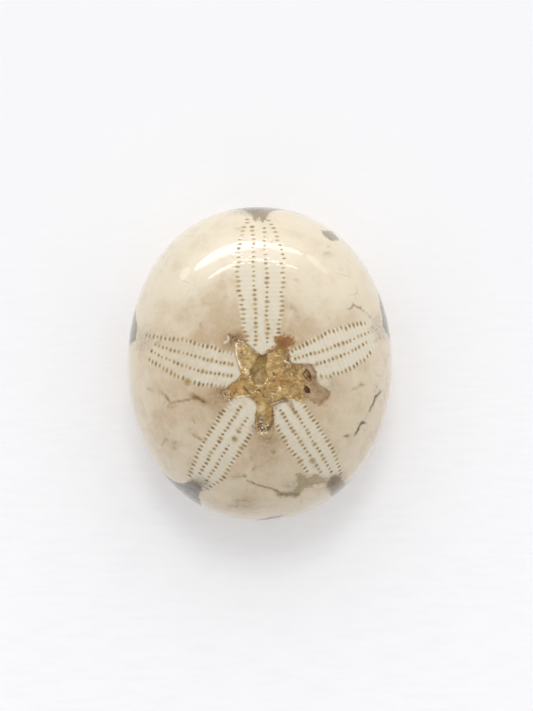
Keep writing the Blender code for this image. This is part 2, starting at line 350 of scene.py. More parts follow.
STONE_MARKS: tuple[Mark, ...] = (
    # The left flank.
    Thread(((-13.47, -2.78), (-12.99, -2.93), (-12.62, -3.21)), 0.42, 0.42, Tint.BROWN),
    Thread(((-11.54, -3.29), (-11.07, -3.60), (-10.80, -4.09), (-10.43, -4.54), (-9.70, -4.40), (-8.78, -4.25),
            (-8.24, -4.18)), 0.42, 0.52, Tint.BROWN, True),
    Thread(((-11.2, -3.5), (-10.85, -3.95), (-10.6, -4.3)), 0.34, 0.45, Tint.SEPIA),
    Thread(((-9.70, -4.40), (-8.78, -4.25), (-8.24, -4.18)), 0.24, 0.45, Tint.SEPIA),
    Thread(((-10.55, -4.35), (-10.62, -4.75), (-10.95, -5.15)), 0.30, 0.45, Tint.BROWN),
    Blot((-10.61, -3.28), (0.22, 0.15), 20, 0.35, Tint.GRAY),
    Blot((-9.87, -3.45), (0.32, 0.22), 0, 0.28, Tint.GRAY),
    Thread(((-10.81, -5.18), (-10.16, -5.03), (-9.70, -4.80)), 0.26, 0.42, Tint.BROWN),
    Thread(((-7.87, -3.53), (-7.42, -3.88), (-6.97, -4.06), (-6.43, -4.46)), 0.50, 0.72, Tint.BROWN, True),
    Thread(((-7.75, -3.60), (-7.40, -3.80), (-7.05, -3.95), (-6.75, -4.25), (-6.4, -4.42)), 0.24, 0.70, Tint.SEPIA),
    Blot((-7.55, -3.88), (0.60, 0.36), -20, 0.66),
    Blot((-7.60, -3.80), (0.36, 0.22), -20, 0.36, Tint.SEPIA),
    Blot((-6.72, -4.20), (0.62, 0.28), -35, 0.66),
    Blot((-6.72, -4.20), (0.42, 0.16), -35, 0.40, Tint.SEPIA),
    Blot((-5.95, -3.55), (0.45, 0.35), 0, 0.30),
    Thread(((-8.24, -4.20), (-7.78, -3.84), (-7.80, -3.50)), 0.26, 0.65, Tint.BROWN, True),
    Thread(((-7.87, -4.11), (-7.15, -4.06)), 0.22, 0.6, Tint.BROWN),
    Blot((-5.80, -3.96), (0.14, 0.13), 0, 0.45),
    Blot((-5.09, -4.50), (0.20, 0.30), 20, 0.40),
    Blot((-4.80, -3.20), (0.85, 0.75), 20, 0.60),
    Blot((-4.85, -3.15), (0.60, 0.50), 20, 0.35, Tint.SPECK),
    Blot((-4.10, -3.60), (0.85, 0.70), 20, 0.60, Tint.SPECK),
    Blot((-4.50, -3.55), (0.40, 0.55), 20, 0.40, Tint.SEPIA),
    Blot((-4.05, -4.20), (0.40, 0.25), -30, 0.50, Tint.SEPIA),
    Blot((-6.10, -4.40), (1.20, 0.60), -15, 0.40),
    Blot((-4.90, -5.00), (0.70, 0.75), 0, 0.32),
    Blot((-4.40, -3.05), (0.30, 0.30), 30, 0.50, Tint.SEPIA),
    Thread(((-7.75, -6.49), (-7.62, -6.80)), 0.20, 0.55, Tint.BROWN, True),
    Thread(((-6.89, -6.35), (-6.35, -6.30)), 0.22, 0.35, Tint.BROWN),
    Blot((-8.26, -7.49), (0.22, 0.34), -20, 0.36, Tint.GRAY),
    Thread(((-7.68, -8.30), (-7.27, -8.52), (-6.82, -8.83), (-6.30, -8.95)), 0.30, 0.72, Tint.BROWN, True),
    Thread(((-11.05, -8.83), (-11.34, -9.21), (-11.59, -9.59)), 0.42, 0.50, Tint.BROWN, True),
    Thread(((-10.22, -9.31), (-9.75, -9.06)), 0.24, 0.60, Tint.BROWN),
    Blot((-10.09, -9.86), (0.15, 0.13), 0, 0.55),
    Blot((-10.13, -9.53), (0.75, 0.65), 0, 0.22),
    Blot((-6.90, 4.58), (0.13, 0.16), 0, 0.60),
    Thread(((-10.29, 14.54), (-10.80, 13.82), (-11.14, 13.28), (-11.53, 12.80)), 0.22, 0.60, Tint.GRAY, True),
    Blot((-9.49, 10.68), (0.18, 0.10), 0, 0.45, Tint.GRAY),
    # The rear.
    Thread(((-3.50, -13.10), (-3.14, -13.19), (-2.53, -13.23), (-1.76, -13.14)), 0.22, 0.45, Tint.BROWN),
    Blot((-1.76, -13.08), (0.26, 0.20), 10, 0.62, Tint.BROWN),
    Blot((-1.72, -13.14), (0.14, 0.12), 10, 0.45, Tint.DARK),
    Thread(((-1.42, -13.67), (-0.99, -13.87), (-0.38, -14.12), (0.31, -14.34), (1.00, -14.52), (1.52, -14.70),
            (2.04, -14.93), (2.47, -15.21)), 0.26, 0.80, Tint.BROWN, True),
    Thread(((-0.99, -13.87), (-0.50, -14.08)), 0.16, 0.5),
    Thread(((1.1, -14.55), (1.6, -14.76), (2.2, -15.0)), 0.16, 0.45),
    Thread(((-1.07, -12.74), (-0.64, -12.12), (-0.38, -11.77)), 0.22, 0.45, Tint.BROWN),
    Blot((-0.66, -12.15), (0.16, 0.22), 0, 0.50, Tint.BROWN),
    Thread(((-1.10, -10.68), (-1.02, -10.94), (-1.02, -11.38)), 0.18, 0.45, Tint.BROWN),
    Blot((1.55, -10.16), (0.32, 0.28), 0, 0.80, Tint.BROWN, 3.0),
    Blot((1.08, -8.75), (1.30, 0.55), 0, 0.55),
    Blot((0.80, -9.40), (1.20, 1.20), 0, 0.32),
    Blot((0.9, -11.3), (2.2, 1.8), 0, 0.26),
    Blot((0.3, -8.55), (0.6, 0.30), 0, 0.6),
    Blot((1.3, -8.45), (0.35, 0.30), 0, 0.5),
    Blot((1.55, -7.60), (0.20, 0.45), -20, 0.50, Tint.SEPIA),
    Blot((-0.75, -7.40), (0.20, 0.60), 0, 0.45, Tint.SEPIA),
    Blot((0.40, -7.60), (1.25, 1.00), 0, 0.75, Tint.SPECK),
    Blot((1.85, -5.10), (0.25, 0.35), 20, 0.35, Tint.SEPIA),
    Blot((3.94, -13.96), (0.20, 0.16), 0, 0.45, Tint.GRAY),
    Blot((3.30, -14.42), (0.42, 0.14), 0, 0.45, Tint.GRAY),
    Blot((3.60, -14.10), (0.90, 0.60), 0, 0.30, Tint.GRAY),
    Thread(((4.73, -15.16), (5.34, -15.08), (5.95, -14.73)), 0.20, 0.40, Tint.GRAY),
    Thread(((4.74, -15.90), (4.84, -16.66)), 0.18, 0.28, Tint.BROWN),
    Thread(((2.60, -15.34), (3.25, -15.38), (4.04, -15.36), (4.60, -15.46)), 0.50, 0.46, Tint.DARK, True),
    Blot((2.45, -15.30), (0.50, 0.26), -10, 0.30, Tint.GRAY),
    Blot((6.94, -15.56), (0.16, 0.13), 0, 0.40, Tint.GRAY),
    Blot((6.33, -16.06), (0.20, 0.20), 0, 0.25, Tint.GRAY),
    Thread(((-0.50, -18.83), (0.56, -18.63), (1.44, -18.42), (2.32, -18.28), (2.85, -18.09)), 0.70, 1.0),
    Blot((-2.39, -16.22), (1.00, 0.34), 5, 0.50),
    Blot((-2.84, -16.89), (1.30, 0.32), 0, 0.50),
    Blot((-0.9, -16.8), (0.9, 0.6), 20, 0.36),
    Blot((-1.6, -15.9), (1.6, 1.2), 0, 0.22),
    Blot((6.17, -11.33), (0.40, 0.38), 0, 0.62, Tint.OLIVE, 3.0),
    Blot((6.61, -11.96), (0.34, 0.30), 0, 0.50, Tint.OLIVE),
    Thread(((5.95, -10.75), (6.30, -11.40), (6.85, -12.30), (7.50, -13.10)), 0.34, 0.30, Tint.OLIVE),
    # The right flank.
    Thread(((12.42, -2.42), (11.83, -2.39), (11.37, -2.83), (10.68, -3.05)), 0.38, 0.45, Tint.BROWN),
    Blot((12.0, -2.40), (0.34, 0.26), 0, 0.35),
    Thread(((14.53, -3.17), (14.10, -3.56), (13.68, -3.89), (13.56, -4.34), (13.39, -4.79), (13.10, -5.24),
            (12.86, -5.58)), 0.33, 1.0),
    Thread(((12.86, -5.58), (12.57, -6.14), (12.23, -6.81)), 0.30, 0.30, Tint.GRAY),
    Thread(((12.65, -7.00), (12.05, -6.92), (11.71, -7.37), (11.60, -7.77), (11.31, -8.22), (11.08, -8.56)),
           0.33, 1.0),
    Thread(((9.92, -8.41), (10.18, -8.40), (10.44, -8.54)), 0.28, 0.70),
    Blot((10.41, -9.80), (0.14, 0.12), 0, 0.30, Tint.GRAY),
    Blot((10.48, -10.67), (0.16, 0.14), 0, 0.26, Tint.GRAY),
    Blot((13.85, -2.64), (0.12, 0.16), 0, 0.60),
    Blot((13.61, -3.09), (0.16, 0.18), 0, 0.35),
    Thread(((13.60, -0.59), (13.90, -1.33), (14.45, -1.40), (14.76, -0.89)), 0.22, 0.26, Tint.BROWN),
    Blot((13.97, -7.94), (0.18, 0.40), 0, 0.38, Tint.GRAY),
    Blot((12.43, -7.80), (0.18, 0.14), 0, 0.35),
    Blot((8.40, -2.10), (0.90, 0.60), -40, 0.35, Tint.GRAY),
    Blot((9.08, -2.59), (0.90, 0.60), -40, 0.20, Tint.GRAY),
    Thread(((10.10, 6.34), (10.78, 6.68), (11.07, 6.97), (11.55, 6.74), (12.04, 6.41), (12.43, 6.23)),
           0.20, 0.62),
    Blot((10.72, 6.66), (0.20, 0.12), 30, 0.45, Tint.SEPIA),
    Blot((11.55, 6.74), (0.26, 0.10), -30, 0.45, Tint.SEPIA),
    Thread(((12.43, 6.23), (13.01, 5.63), (13.50, 5.30)), 0.24, 0.50, Tint.GRAY),
    Blot((7.9, 13.15), (0.50, 0.18), 20, 0.38, Tint.GRAY),
    Blot((8.2, 12.9), (0.70, 0.40), 0, 0.20),
    Blot((8.16, 13.91), (0.13, 0.16), 0, 0.50, Tint.GRAY),
    Blot((9.60, 11.22), (0.30, 0.20), 0, 0.22, Tint.GRAY),
    Blot((10.66, 10.82), (0.16, 0.13), 0, 0.28, Tint.GRAY),
    Blot((4.14, 9.86), (0.13, 0.15), 0, 0.55),
    Blot((3.72, 6.57), (0.16, 0.20), 0, 0.70),
    Blot((4.08, 6.50), (0.22, 0.14), 0, 0.62),
    Blot((4.00, 6.72), (0.30, 0.12), 0, 0.40),
    Blot((4.45, 5.51), (0.17, 0.20), 0, 0.40),
    Blot((3.60, 3.95), (0.26, 0.16), 0, 0.26),
    # Round the scar.
    Blot((-3.05, 3.05), (0.95, 0.52), 15, 0.85),
    Blot((-2.95, 2.98), (0.62, 0.30), 20, 0.66, Tint.SEPIA),
    Blot((-2.75, 2.95), (0.70, 0.40), 15, 0.80, Tint.SPECK),
    Blot((-2.10, 3.00), (0.55, 0.20), -30, 0.55, Tint.SEPIA),
    Blot((-3.35, 2.30), (0.22, 0.40), 0, 0.45, Tint.SEPIA),
    Blot((-3.85, 2.40), (0.75, 0.60), 60, 0.48),
    Blot((-2.2, 3.6), (0.9, 0.5), -20, 0.30),
    Thread(((-3.39, 2.57), (-3.35, 2.83), (-2.96, 3.13), (-2.43, 3.26)), 0.34, 0.75, Tint.BROWN, True),
    Thread(((-3.36, 2.62), (-3.33, 2.86), (-3.05, 3.08)), 0.20, 0.70, Tint.SEPIA, True),
    Thread(((-3.66, 3.22), (-3.58, 2.92), (-3.76, 2.66), (-4.06, 2.56)), 0.26, 0.95, Tint.PALE, True),
    Thread(((-3.52, 3.42), (-3.28, 3.10), (-3.02, 2.90)), 0.40, 0.85, Tint.SEPIA, True),
    Blot((3.60, 0.20), (0.45, 0.80), 0, 0.60, Tint.SPECK),
    Blot((6.38, -0.12), (0.17, 0.17), 0, 0.85, Tint.SEPIA),
    Blot((6.38, -0.75), (0.20, 0.32), 30, 0.80, Tint.SEPIA),
    Blot((6.34, -1.52), (0.30, 0.32), 0, 0.70, Tint.SEPIA),
    Blot((6.35, -2.20), (0.36, 0.30), 0, 0.62, Tint.SEPIA),
    Blot((6.75, -3.10), (0.26, 0.50), 20, 0.45, Tint.SEPIA),
    Blot((5.35, 0.02), (0.80, 0.12), 0, 0.55, Tint.SEPIA),
    Blot((7.70, -4.10), (0.60, 0.16), 40, 0.45, Tint.SEPIA),
    Blot((7.60, -2.85), (0.70, 0.26), -35, 0.40, Tint.GRAY),
    Blot((7.65, -1.95), (0.65, 0.46), -20, 0.60, Tint.PALE),
    Blot((5.45, -2.20), (0.40, 0.22), 10, 0.45),
    Blot((7.55, -4.15), (0.50, 0.18), 40, 0.40),
    Blot((8.05, -3.45), (0.20, 0.34), -20, 0.35),
    Blot((5.3, -4.2), (0.5, 0.3), 20, 0.5),
    Thread(((3.25, 1.60), (3.34, 0.73), (3.62, 0.12), (4.10, -0.02), (4.83, 0.01), (6.06, -0.06)), 0.24, 0.60,
           Tint.SEPIA, True),
    # Painted shade: a sepia band just outside the right lobe's lower edge.
    Thread(((1.62, -4.70), (2.20, -4.44), (2.85, -4.18), (3.50, -4.10)), 0.40, 0.95, Tint.SEPIA, True),
    Thread(((-0.60, -4.40), (-1.10, -3.92), (-1.60, -3.62), (-2.60, -3.70)), 0.22, 0.35, Tint.SEPIA),
    Thread(((0.25, 1.25), (-0.40, 1.50), (-1.10, 2.10), (-1.80, 2.75)), 0.22, 0.40, Tint.SEPIA),
    Blot((-2.3, -0.3), (0.30, 1.6), 20, 0.30),
    Patch(((2.91, -4.26), (3.78, -4.17), (4.22, -5.67), (3.95, -5.70), (3.55, -5.14)), 0.62, Tint.BROWN, 0.12),
    Blot((4.22, -5.67), (0.20, 0.22), 0, 0.55),
    # The gray skins on the petals' tips.
    Patch(((-14.43, 4.45), (-13.56, 4.22), (-12.88, 3.89), (-13.10, 3.37), (-12.65, 2.52), (-12.87, 1.78),
           (-13.42, 1.52), (-14.10, 1.47), (-14.81, 1.79), (-14.76, 2.59), (-14.65, 3.39), (-14.60, 4.19)),
          0.30, Tint.GRAY, 0.60),
    Thread(((-14.11, 2.11), (-13.71, 2.47), (-13.26, 2.84), (-12.93, 3.10)), 0.75, 0.38, Tint.OLIVE, True),
    Blot((-11.99, 2.52), (0.42, 0.36), 0, 0.42),
    Patch(((14.27, 6.16), (13.86, 5.78), (13.56, 5.40), (13.84, 4.68), (13.16, 4.39), (12.82, 4.16),
           (13.06, 3.71), (13.73, 3.68), (13.82, 3.13), (13.62, 2.72), (14.40, 2.73), (15.34, 3.06),
           (14.93, 3.97), (14.64, 4.88), (14.46, 5.80)), 0.42, Tint.GRAY, 0.50),
    Blot((12.99, 5.66), (0.14, 0.24), 30, 0.45, Tint.GRAY),
    Blot((13.66, 5.36), (0.14, 0.12), 0, 0.50, Tint.GRAY),
    Blot((13.84, 4.68), (0.12, 0.14), 0, 0.40, Tint.GRAY),
    Thread(((13.15, 4.36), (13.54, 4.31)), 0.20, 0.45, Tint.GRAY, True),
    Blot((14.06, 3.00), (0.16, 0.14), 0, 0.40, Tint.GRAY),
    Blot((13.72, 2.75), (0.16, 0.14), 0, 0.40, Tint.GRAY),
    Thread(((14.43, 7.56), (14.60, 6.73), (14.74, 6.04), (14.75, 5.12), (14.76, 4.52)), 0.30, 0.50),
    Thread(((-14.85, 5.27), (-14.71, 4.67), (-14.69, 4.03), (-14.80, 3.44), (-14.90, 2.96)), 0.40, 0.50, Tint.DARK),
    Thread(((-0.47, 18.37), (0.24, 18.60)), 0.34, 0.62, Tint.DARK, True),
    Thread(((2.60, 18.68), (3.80, 18.40), (4.84, 18.02), (6.20, 17.42)), 0.26, 0.50, Tint.GRAY),
    Blot((-0.2, 17.9), (0.9, 0.7), 0, 0.40, Tint.BROWN),
    Blot((-7.20, -14.30), (0.95, 0.65), -30, 0.60, Tint.DARK),
    Blot((-6.60, -13.90), (0.85, 0.55), -30, 0.60, Tint.GRAY),
    Blot((-7.9, -13.85), (0.5, 0.4), 0, 0.45, Tint.BROWN),
    Blot((8.71, -14.19), (0.28, 0.26), 0, 1.0, Tint.DARK, 3.0),
    Blot((8.71, -14.19), (0.24, 0.22), 0, 1.0, Tint.SEPIA, 3.0),
    Blot((9.05, -13.62), (0.42, 0.32), 0, 0.70, Tint.BROWN),
    Blot((9.10, -14.20), (1.30, 1.10), 45, 0.70, Tint.BROWN, 3.0),
    Blot((8.85, -14.15), (0.95, 0.90), 0, 0.70, Tint.AMBER, 3.0),
    Blot((8.90, -13.60), (0.50, 0.32), 0, 0.55, Tint.SEPIA),
    Blot((-1.00, 18.25), (1.80, 0.45), 0, 0.80, Tint.GRAY),
    Blot((-0.90, 18.45), (1.00, 0.46), 0, 0.46, Tint.DARK),
    Blot((0.30, 18.00), (0.90, 0.90), 0, 0.22, Tint.BROWN),
)

MATRIX_PATCHES = (
    RimPatch(90, ((4.88, 10.1), (3.38, 9.51), (2.24, 10.92), (1.74, 11.37), (1.40, 11.74), (1.18, 12.14),
                  (0.96, 12.68), (0.76, 13.05), (0.79, 13.36), (0.62, 13.78), (0.43, 13.72), (0.38, 13.22),
                  (0.02, 13.06), (-0.09, 13.58), (-0.25, 13.85), (-0.58, 13.56), (-0.74, 13.18), (-0.96, 12.44),
                  (-1.40, 11.65), (-2.12, 10.76), (-3.36, 9.78), (-4.88, 10.1), (-6.4, 9.2), (-3.6, 7.2),
                  (-2.2, 5.4), (-0.2, 3.2), (1.8, 4.6), (3.2, 7.4))),
    RimPatch(62, ((1.23, 12.15), (0.66, 11.98), (0.20, 10.77), (-0.21, 10.22), (-0.86, 10.66), (-1.42, 11.12),
                  (-1.10, 11.94), (-0.86, 12.59), (-0.32, 12.92), (0.28, 12.88), (0.84, 12.55))),
    RimPatch(165, ((-3.60, 9.2), (-3.16, 9.86), (-2.55, 10.34), (-1.87, 11.13), (-1.25, 11.68), (-0.71, 12.27),
                   (-0.09, 12.52), (0.51, 12.45), (0.96, 12.67), (1.16, 12.36), (1.44, 11.72), (1.83, 10.84),
                   (2.00, 8.6), (1.4, 6.0), (0.1, 3.4), (-1.6, 5.2), (-2.9, 7.6))),
    RimPatch(15, ((5.0, 10.2), (4.39, 10.66), (3.71, 11.08), (2.78, 11.74), (2.06, 11.78), (1.37, 12.0),
                  (0.56, 12.26), (-0.03, 12.0), (-0.49, 11.53), (-1.06, 10.49), (-1.3, 8.2), (-0.7, 5.6),
                  (0.6, 3.2), (2.0, 5.6), (3.4, 8.0))),
    RimPatch(235, ((-3.4, 8.6), (-1.92, 10.25), (-0.86, 11.22), (0.01, 11.84), (0.70, 12.70), (1.09, 13.79),
                   (1.30, 14.20), (1.90, 14.35), (2.40, 14.20), (2.85, 14.0), (2.97, 13.7), (2.96, 13.0),
                   (3.66, 11.6), (4.3, 9.4), (3.0, 5.6), (1.2, 3.0), (-0.8, 4.4), (-2.2, 6.6))),
    RimPatch(303, ((-1.15, 13.67), (-0.92, 13.87), (-0.47, 14.05), (0.03, 14.09), (0.26, 14.06), (0.57, 13.54),
                   (0.64, 12.95), (0.66, 12.21), (0.78, 11.02), (1.9, 9.6), (1.1, 8.9), (0.9, 6.4), (-0.4, 4.2),
                   (-1.5, 6.6), (-2.4, 8.4), (-1.23, 10.16), (-1.47, 11.42), (-1.23, 12.11), (-1.07, 12.85),
                   (-1.43, 13.34))),
)

OLIVE_OUTLINE = (
    (4.10, -12.80), (4.88, -12.90), (5.32, -13.27), (5.84, -13.37), (6.27, -13.07), (6.88, -13.04),
    (7.50, -13.32), (7.86, -13.52), (8.04, -13.80), (7.61, -14.01), (7.17, -14.22), (6.55, -14.20),
    (6.12, -14.42), (5.51, -14.54), (5.07, -14.80), (4.73, -15.16), (4.65, -15.62), (4.21, -15.75),
    (3.69, -15.64), (3.08, -15.54), (2.56, -15.58), (2.13, -15.67), (1.86, -15.30), (1.95, -15.02),
    (2.47, -15.17), (3.08, -15.17), (3.68, -15.05), (4.20, -14.69), (4.42, -14.33), (4.45, -13.79),
    (4.41, -13.34),
)


# ---------------------------------------------------------------------------------------------------------
# The petals and their pores
# ---------------------------------------------------------------------------------------------------------


class Row(Enum):
    """The four rows of pores in a petal, as (side of the midline, whether it is an outer row)."""

    LEFT_OUTER = (1, True)
    LEFT_INNER = (1, False)
    RIGHT_INNER = (-1, False)
    RIGHT_OUTER = (-1, True)


@dataclass(frozen=True)
class Pore:
    """One filled pore: its place in plan, its turn, its half sizes across and along its row, and its tone."""

    x: float
    y: float
    turn: float
    across: float
    along: float
    tone: float


@dataclass(frozen=True)
class Petal:
    """One petal: where it starts and points, how it bows, and the half spacings of its rows."""

    name: str
    start: Point
    heading: float
    bow: float
    inner: tuple[float, ...]
    outer: tuple[float, ...]
    spans: dict[Row, tuple[float, float]]
    stray: float = 0.05
    pitch: tuple[float, float] = (0.47, 0.60)
    darkness: float = 0.54
    fade: float = 1.0

    @property
    def length(self) -> float:
        """How far the inner rows reach."""
        return max(self.spans[Row.LEFT_INNER][1], self.spans[Row.RIGHT_INNER][1])

    def through(self, values: tuple[float, ...], along: Array) -> Array:
        """A curve through values spaced evenly from the petal's start to its end."""
        knots = np.linspace(0, 1, len(values))
        share = np.clip(along / self.length, -0.12, 1.08)
        return np.polyval(np.polyfit(knots, values, len(values) - 1), share)

    def bowed(self, along: Array) -> Array:
        """How far the midline lies to the left of the straight line through its ends."""
        return self.through((0.0, self.bow, 0.0), along)

    def measure(self, plan: Array) -> tuple[Array, Array]:
        """Petal coordinates of (N, 2) places.

        Returns:
            The distance along the petal, and the distance to the left of its midline.
        """
        turn = math.radians(self.heading)
        offset = plan - self.start
        along = offset @ (math.cos(turn), math.sin(turn))
        across = offset @ (-math.sin(turn), math.cos(turn)) - self.bowed(along)
        return along, across

    def place(self, along: float, across: float) -> Point:
        """The place in plan of a point given in petal coordinates."""
        turn = math.radians(self.heading)
        aside = across + float(self.bowed(along))
        x = self.start[0] + along * math.cos(turn) - aside * math.sin(turn)
        y = self.start[1] + along * math.sin(turn) + aside * math.cos(turn)
        return x, y

    def stations(self) -> list[float]:
        """The distances along the petal at which its pores sit, evenly spaced over the curved surface."""
        along = -0.6
        found = []
        while along < self.length + 1.4:
            found.append(along)
            here, ahead = FORM.on_dome((self.place(along, 0), self.place(along + 0.1, 0)))
            climb = (ahead[2] - here[2]) / 0.1
            share = min(max(along / self.length, 0), 1)
            along += (self.pitch[0] + (self.pitch[1] - self.pitch[0]) * share) / math.hypot(1, climb)
        return found

    def pores(self, chance: np.random.Generator) -> list[Pore]:
        """Every pore of the petal, with the small irregularities of a grown thing."""
        made = []
        stations = self.stations()
        for row, (first, last) in self.spans.items():
            side, is_outer = row.value
            shift = 0.5 if side > 0 else 0.0
            wander = 0.0
            for here, following in zip(stations, stations[1:]):
                along = here + (following - here) * shift
                if not first <= along <= last:
                    continue
                half = float(self.through(self.outer if is_outer else self.inner, along))
                stray = self.stray * (1.5 if is_outer else 0.6)
                wander = 0.55 * wander + chance.normal(0, stray)
                along += chance.normal(0, 0.025)
                x, y = self.place(along, side * half + wander)
                size = float(np.clip(chance.normal(0.92, 0.15), 0.60, 1.30))
                tone = float(np.clip(chance.normal(self.darkness, 0.22), 0.15, 1.0))
                if chance.random() < 0.04:
                    tone = 0.12
                long, short = (0.27, 0.15) if is_outer else (0.22, 0.16)
                made.append(Pore(x, y, math.radians(self.heading), long * size, short * size, tone))
        return made


PETALS = (
    Petal(
        "front", (0.22, 2.15), 91.7, -0.05, (0.70, 0.73, 0.73), (1.50, 2.26, 2.50, 2.50, 1.55),
        {Row.LEFT_OUTER: (0.6, 15.1), Row.LEFT_INNER: (0.0, 14.4),
         Row.RIGHT_INNER: (0.0, 14.4), Row.RIGHT_OUTER: (0.1, 14.9)},
        stray=0.09, pitch=(0.50, 0.66), darkness=0.50,
    ),
    Petal(
        "right", (4.25, 0.03), 21.0, -0.35, (0.62, 0.65, 0.48), (1.60, 2.45, 1.60),
        {Row.LEFT_OUTER: (0.1, 9.5), Row.LEFT_INNER: (0.0, 9.4),
         Row.RIGHT_INNER: (2.0, 8.8), Row.RIGHT_OUTER: (2.0, 9.1)},
    ),
    Petal(
        "left", (-3.01, -0.71), 164.0, 0.40, (0.62, 0.72, 0.42), (1.75, 2.24, 1.20),
        {Row.LEFT_OUTER: (2.0, 10.2), Row.LEFT_INNER: (0.1, 10.1),
         Row.RIGHT_INNER: (0.0, 10.2), Row.RIGHT_OUTER: (1.3, 11.2)},
        fade=0.42,
    ),
    Petal(
        "rear_left", (-1.75, -5.41), -122.0, -0.05, (0.63, 0.67, 0.52), (1.80, 2.11, 1.35),
        {Row.LEFT_OUTER: (1.8, 10.5), Row.LEFT_INNER: (0.4, 10.1),
         Row.RIGHT_INNER: (-0.4, 9.6), Row.RIGHT_OUTER: (1.1, 10.4)},
        darkness=0.60,
    ),
    Petal(
        "rear_right", (3.00, -5.15), -57.6, 0.05, (0.67, 0.66, 0.52), (1.85, 2.09, 1.55),
        {Row.LEFT_OUTER: (0.8, 10.3), Row.LEFT_INNER: (0.2, 9.5),
         Row.RIGHT_INNER: (-0.3, 9.1), Row.RIGHT_OUTER: (1.2, 8.0)},
        darkness=0.56,
    ),
)

# Pores that broke out wider than their neighbours.
BLOWN_PORES = (
    Pore(-8.43, -2.05, 0.0, 0.42, 0.42, 0.35),
    Pore(-2.93, -8.72, 0.4, 0.34, 0.30, 0.45),
    Pore(6.19, -11.32, 0.8, 0.34, 0.28, 0.30),
)


@dataclass
class PoreField:
    """All the pores together, and what each place of the surface lies nearest to."""

    pores: list[Pore]
    reach: float = 3.0

    @classmethod
    def grown(cls, scar: "Scar") -> "PoreField":
        """The pores of every petal that the scar hasn't taken away."""
        chance = np.random.default_rng(7)
        found = list(BLOWN_PORES)
        for petal in PETALS:
            for pore in petal.pores(chance):
                spot = np.array([(pore.x, pore.y)])
                clear = scar.distance(spot)[0] > 0.15 and scar.patch_distance(spot)[0] > 0.1
                blown = any(math.hypot(pore.x - b.x, pore.y - b.y) < 0.6 for b in BLOWN_PORES)
                if clear and not blown:
                    found.append(pore)
        return cls(found)

    def nearest(self, points: Array) -> tuple[Array, Array]:
        """Each point's place against its nearest pore.

        Args:
            points: (N, 3) points on the form.

        Returns:
            The distance from the pore's middle in pore radii, up to `reach`, and the pore's tone.
        """
        ratio = np.full(len(points), self.reach)
        tone = np.zeros(len(points))
        above = np.flatnonzero(points[:, 2] > FORM.rim)
        middles = FORM.on_dome([(pore.x, pore.y) for pore in self.pores])
        outs = FORM.outward(middles)
        for pore, middle, out in zip(self.pores, middles, outs):
            offset = points[above] - middle
            close = above[(offset**2).sum(axis=1) < (self.reach * 0.45) ** 2]
            heading = np.array((math.cos(pore.turn), math.sin(pore.turn), 0.0))
            aside = np.cross(out, heading)
            aside /= np.linalg.norm(aside)
            forward = np.cross(aside, out)
            offset = points[close] - middle
            away = np.hypot(offset @ aside / pore.across, offset @ forward / pore.along)
            nearer = close[away < ratio[close]]
            ratio[nearer] = away[away < ratio[close]]
            tone[nearer] = pore.tone
        return ratio, tone


# ---------------------------------------------------------------------------------------------------------
# The scar at the apex
# ---------------------------------------------------------------------------------------------------------


